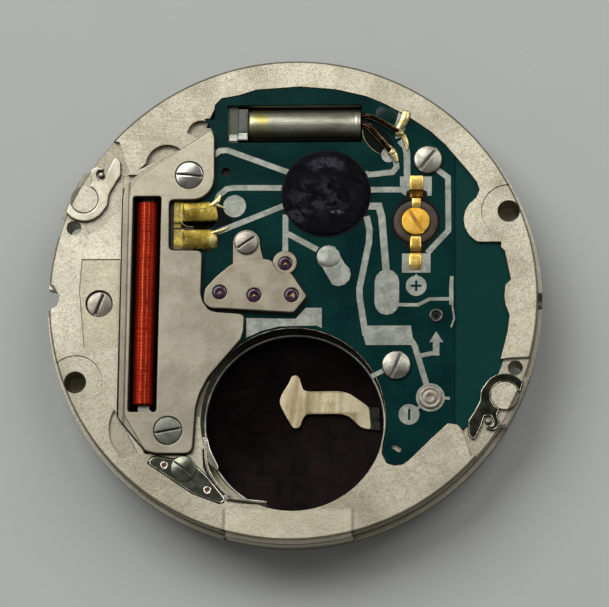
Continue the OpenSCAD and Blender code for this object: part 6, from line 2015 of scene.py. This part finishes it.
@dataclass
class TrainBridge(SubAssembly):
    """The bridge over the wheels with its four bearings and its screw."""

    low: float = 1.96
    high: float = 2.38
    lobe: float = 2.16
    centres: Line = ((-3.773, 0.158), (-1.97, 0.0), (0.0, 0.0), (-0.37, 1.741))
    outline: Line = tuple(
        arc((-4.06, -0.14), 0.56, 190, 265, 6) + [(-3.6, -0.71), (0.12, -0.94), (0.8, -0.08), (-0.06, 1.2)]
        + arc((-0.4, 1.78), 0.6, -82, -172, 8) + [(-1.1, 1.87), (-1.5, 1.96), (-1.97, 1.98), (-2.54, 1.9),
                                                   (-3.23, 1.64), (-4.02, 0.96), (-4.55, 0.34)])
    tongue: Line = tuple(
        [(-3.13, 1.55)] + arc((-2.43, 2.86), 0.7, 182, -2, 14) + [(-1.66, 2.45), (-1.46, 1.7)])
    screw: SlottedScrew = SlottedScrew((-2.43, 2.86), 0.62, 2.14, 2.35, 35, 0.12, 0.1, 0.05, 0.06, 1.35)

    def sheet(self) -> Shape:
        """The raised plate, the two low lobes and the foot that reaches down to the main plate.

        Returns:
            All five in one.
        """
        *raised, low_bore = (circle(centre, 0.372, 48) for centre in self.centres)
        plate, lobe, tongue = self.loops()
        foot = [(0.3, -0.62), (0.8, -0.75), (2.6, -1.1), (2.95, 0.3), (2.2, 1.4), (0.75, 0.6), (0.4, 0.1)]
        web = [(0.06, -0.7), (0.3, -0.62), (0.46, -0.2), (0.24, 0.3), (0.02, 0.2)]
        return joined([slab(plate, edge_profile(self.low, self.high, 0.02, 0.055, 5), raised),
                       slab(lobe, edge_profile(self.low - 0.08, self.lobe, 0.0, 0.03), [low_bore]),
                       slab(tongue, edge_profile(self.low, self.lobe - 0.02, 0.0, 0.03)),
                       block(foot, 0.1, 1.62, 1.8, 0.02), block(web, 0.03, 1.62, self.high - 0.1, 0.02)])

    def loops(self) -> tuple[Points, Points, Points]:
        """The outlines of the plate, the round lobe and the tongue with the screw."""
        return soften(self.outline, 0.16, 6), circle((-0.4, 1.78), 0.63), soften(self.tongue, 0.06, 3)

    def outlines(self) -> Shape:
        """Thin dark sheets of painted shade that stand out round the plate and its two low lobes."""
        sheets = ((0.085, 2.024, 2.034), (0.045, 2.022, 2.03), (0.035, 2.021, 2.028))
        return joined(sheet_line(loop, *sheet) for loop, sheet in zip(self.loops(), sheets))

    def build(self) -> None:
        """Build the bridge, its stones and its screw."""
        self.place("bridge_sheet", self.sheet(), NICKEL_BRIDGE, instead_of=["train_bridge"])
        tops = (2.335, 2.335, 2.335, 2.145)
        stones = joined(jewel(centre, top - 0.18, top) for centre, top in zip(self.centres, tops))
        self.place("bridge_stones", stones, RUBY, instead_of=["bridge_jewels"], fold=35)
        self.place("bridge_screw_head", self.screw.head(), STEEL_DULL_SCREW, instead_of=["bridge_screw"],
                   fold=35)
        self.place("bridge_screw_slot_shade", self.screw.slot_shade_film(), SLOT_DARK_SHADE)
        self.place("bridge_outlines", self.outlines(), SHADE_LINE)


@dataclass
class BatteryContacts(SubAssembly):
    """The pale strip in the well and the dark clamp with its spring arm."""

    clamp_low: float = 1.86
    clamp_high: float = 2.07
    pins: Line = ((-6.51, -8.95), (-4.24, -10.24))
    screw: SlottedScrew = SlottedScrew((-5.49, -9.13), 0.67, 2.075, 2.24, -38, 0.1, 0.07, 0.06, 0.05, 1.28)
    outline: Line = ((-7.34, -8.84), (-7.18, -8.56), (-6.9, -8.46), (-6.05, -8.63), (-5.41, -8.46),
                     (-4.25, -9.56), (-3.34, -10.66), (-3.4, -10.86), (-3.62, -10.91), (-5.04, -10.38))

    def strip(self) -> Shape:
        """The contact strip: a flat sheet cut across, then bent up by 0.05 and down by 0.09.

        Returns:
            The bent strip.
        """
        corners = ([(-0.7, -5.4), (-0.58, -4.95), (-0.2, -4.35)] + arc((0.12, -4.2), 0.26, 150, 20, 5)
                   + [(0.55, -4.72), (0.8, -4.8), (2.52, -4.79), (3.0, -4.92), (4.02, -5.62), (4.13, -6.84),
                      (3.6, -6.72), (2.95, -6.12), (2.52, -6.01), (0.78, -6.01), (0.58, -6.2)]
                   + arc((0.2, -6.5), 0.27, -20, -140, 5) + [(-0.45, -5.92)])
        flat = slab(soften(corners, 0.2, 6), edge_profile(0.655, 0.73, 0.012, 0.022, 3))
        cut = flat.cut_across([0.35, 0.75, 1.2, 1.55, 2.0, 2.45, 2.6, 2.9, 3.3, 3.7])

        def bend(p: Points) -> Points:
            """Lift by 0.05 between x = 1.3 and 2.5, then drop 0.09 to the end; the head dips."""
            x, still = p[:, 0], 0 * p[:, 0]
            rise = 0.05 * np.clip((x - 1.3) / 1.2, 0, 1) - 0.09 * np.clip((x - 2.6) / 1.4, 0, 1)
            return p + np.stack([still, still, rise - 0.04 * np.clip((0.75 - x) / 0.9, 0, 1) ** 2], axis=1)

        return cut.moved(bend)

    def arm(self) -> Shape:
        """The spring arm: a bright ribbon on edge along a smooth line, with its root and its hook.

        Returns:
            All three in one.
        """
        line = smooth_line([(-4.38, -7.56), (-4.3, -8.9), (-3.8, -9.86), (-3.08, -10.56), (-2.54, -10.7),
                            (-1.15, -10.86)], 60)
        root = [(-3.46, -10.5), (-3.42, -10.84), (-2.98, -10.68), (-3.08, -10.5)]
        hook = [(-4.62, -7.46), (-4.3, -7.4), (-4.12, -8.1), (-3.66, -9.02), (-3.72, -9.24), (-4.1, -8.98),
                (-4.42, -8.6)]
        return joined([slab(ribbon(line, 0.16), edge_profile(1.35, 2.02, 0.02, 0.045)),
                       block(root, 0.02, 1.86, 2.02, 0.02), block(hook, 0.14, 1.6, 1.96, 0.06)])

    def build(self) -> None:
        """Build the strip with its foot, the clamp, its pins, its arm and its screw."""
        foot = turned(box_corners(0, 0.51, 0.35, 0.66), (3.9, -6.2), 32)
        self.place("contact_strip", self.strip() + foot, CREAM_STRIP, instead_of=["negative_contact"])
        heel = block([(4.02, -5.62), (4.13, -6.84), (4.62, -6.86), (4.56, -5.66)], 0.04, 0.6, 0.68, 0.02)
        self.place("contact_heel", heel, STEEL_LOCK)
        outline = soften(self.outline, 0.16, 6)
        bores = [circle(self.screw.centre, 0.33, 40)] + [circle(pin, 0.14, 28) for pin in self.pins]
        sheet = slab(outline, edge_profile(self.clamp_low, self.clamp_high, 0.02, 0.05, 5), bores)
        self.place("clamp_sheet", sheet, STEEL_MIRROR, instead_of=["battery_clamp"])
        self.place("clamp_arm", self.arm(), SPRING_STEEL_AND_HIGHLIGHT)
        pin = [(0.0, 1.6), (0.115, 1.6), (0.125, 2.02), (0.11, 2.05), (0.07, 2.05), (0.05, 2.0), (0.0, 1.99)]
        self.place("clamp_rivets", turned_at(self.pins, pin, 28), COPPER_PIN)
        collar = [(0.12, 2.04), (0.205, 2.04), (0.205, 2.075), (0.185, 2.088), (0.15, 2.088), (0.12, 2.07)]
        self.place("clamp_collars", turned_at(self.pins, collar, 32, closed=True), SPRING_STEEL_AND_HIGHLIGHT)
        self.place("clamp_screw_head", self.screw.head(), STEEL_MIRROR, instead_of=["clamp_screw"], fold=35)
        self.place("clamp_screw_slot_shade", self.screw.slot_shade_film(), SLOT_DARK_SHADE)
        # Painted shade as a dark line round the clamp, and a painted highlight along its upper edge.
        self.place("clamp_outline", sheet_line(outline, 0.035, 1.865, 1.88), SHADE_LINE)
        edge = edge_highlight(outline, 0.026, self.clamp_high - 0.018, 0.026)
        self.place("clamp_edge", edge, SPRING_STEEL_AND_HIGHLIGHT, even=False)


@dataclass
class WheelTrain(SubAssembly):
    """The wheels between the rotor and the hands, dressed as they are."""

    brass: Sequence[str] = ("intermediate_wheel", "seconds_wheel", "third_wheel", "centre_wheel",
                            "minute_wheel", "hour_wheel", "date_idler", "date_driving_wheel",
                            "setting_wheel")
    steel: Sequence[str] = ("rotor_shaft", "cannon_pinion", "sliding_pinion", "setting_lever", "yoke",
                            "setting_spring", "date_jumper", "date_cover_screws")

    def build(self) -> None:
        """Dress every wheel, lever and shaft."""
        for node in self.brass:
            self.dress(node, BRASS_WHEEL, 0.006)
        for node in self.steel:
            self.dress(node, STEEL_SPRING, 0.008)
        self.dress("rotor_magnet", FERRITE, 0.012)


@dataclass
class DateWork(SubAssembly):
    """The date ring with its numbers and the plate that holds it."""

    ring_low: float = 0.12
    text_r: float = 10.62
    size: float = 1.25
    depth: float = 0.004
    days: int = 31

    def figure(self, day: int) -> Shape:
        """One day's number: flat text, face down, shifted to the ring and spun to the day's place.

        Args:
            day: the number, from 1.
        Returns:
            The figure.
        """
        curve = bpy.data.curves.new(f"day_{day}", "FONT")
        curve.body = str(day)
        curve.size = self.size * MM
        curve.align_x, curve.align_y = "CENTER", "CENTER"
        curve.extrude = self.depth * MM / 2
        curve.resolution_u = 3
        drawn = add_object(curve.name, curve)
        flat = Shape.from_mesh(bpy.data.meshes.new_from_object(drawn))
        bpy.data.objects.remove(drawn)
        bpy.data.curves.remove(curve)
        shift, angle = np.array([0.0, self.text_r, self.ring_low]), 360 / self.days * (day - 1)
        return flat.moved(lambda p: spin(p * np.array([-1, 1, -1]) + shift, angle))

    def build(self) -> None:
        """Dress the ring and its holding plate and print the numbers, upright at the rim."""
        self.dress("date_ring", DATE_WHITE, 0.01)
        self.dress("date_cover", NICKEL_PLATE, 0.012)
        numbers = joined(self.figure(day) for day in range(1, self.days + 1))
        self.place("date_numbers", numbers, DATE_INK, Body.DATE, even=False)


@dataclass
class Studio:
    """Floor, lamps, world and camera."""

    floor_colour: Triple = lin(178, 180, 176)
    floor_half: float = 0.6
    key_power: float = 0.201
    world_level: float = 0.205
    camera_at: Triple = (0.01146, -0.034, 0.15325)
    camera_turn: Triple = (0.2191, 0.0689, 0.0132)
    lens: float = 175.95

    def lamp(self, name: str, at: Triple, size: Pair, power: float) -> None:
        """A soft rectangular lamp that looks at the movement.

        Args:
            name: the lamp's name.
            at: its place in metres.
            size: its width and height in metres.
            power: watts.
        """
        data = bpy.data.lights.new(name, "AREA")
        data.shape = "RECTANGLE"
        data.size, data.size_y = size
        data.energy = power
        made = add_object(name, data)
        made.location = at
        made.rotation_euler = (-Vector(at)).to_track_quat("-Z", "Y").to_euler()

    def floor(self) -> None:
        """A wide pale sheet under the movement, dulled by faint clouds."""
        x, y = np.meshgrid(*[np.linspace(-self.floor_half, self.floor_half, 21)] * 2)
        points = np.stack([x, y, 0 * x + CAD_BOX[0][2]], axis=2).reshape(-1, 3)
        mesh = bpy.data.meshes.new("pale_floor")
        mesh.from_pydata(points.tolist(), [], lattice(*x.shape).tolist())
        darker = tuple(0.97 * c for c in self.floor_colour)
        paper = Enamel("pale_paper", "", self.floor_colour, darker, (0.75, 0.85), 0.2, 0.4)
        mesh.materials.append(paper.material())
        made = add_object("pale_floor", mesh)

    def build(self) -> None:
        """Set up everything that isn't the movement."""
        self.floor()
        scene = bpy.context.scene
        world = bpy.data.worlds.new("plain_room")
        world.use_nodes = True
        light = world.node_tree.nodes["Background"]
        light.inputs["Color"].default_value = (1.0, 0.99, 0.97, 1.0)
        light.inputs["Strength"].default_value = self.world_level
        scene.world = world
        self.lamp("window_left", (-0.246, 0.304, 0.435), (0.42, 0.42), self.key_power * 13.5)
        self.lamp("window_right", (0.277, 0.277, 0.435), (0.3, 0.4), self.key_power * 5.5)
        data = bpy.data.cameras.new("photo_camera")
        data.lens = self.lens
        data.sensor_fit = "HORIZONTAL"
        data.shift_x, data.shift_y = 0.00244, 0.0002
        data.clip_start, data.clip_end = 0.01, 10
        made = add_object("photo_camera", data)
        made.location = self.camera_at
        made.rotation_euler = self.camera_turn
        scene.camera = made
        scene.view_settings.view_transform = "Standard"


def main() -> None:
    """Build the movement's parts in order."""
    logging.basicConfig(level=logging.INFO, format="%(message)s")
    Studio().build()
    for part in (BasePlate(), CircuitBoard(), CoilUnit(), TrainBridge(), BatteryContacts(), FootLock(),
                 FootLock(body=Body.LOCK_B, node="dial_foot_clamp_b", finish=STEEL_LOCK, flip=-1.0),
                 WheelTrain(), DateWork()):
        LOG.info("building %s", type(part).__name__)
        part.build()


if __name__ == "__main__":
    main()
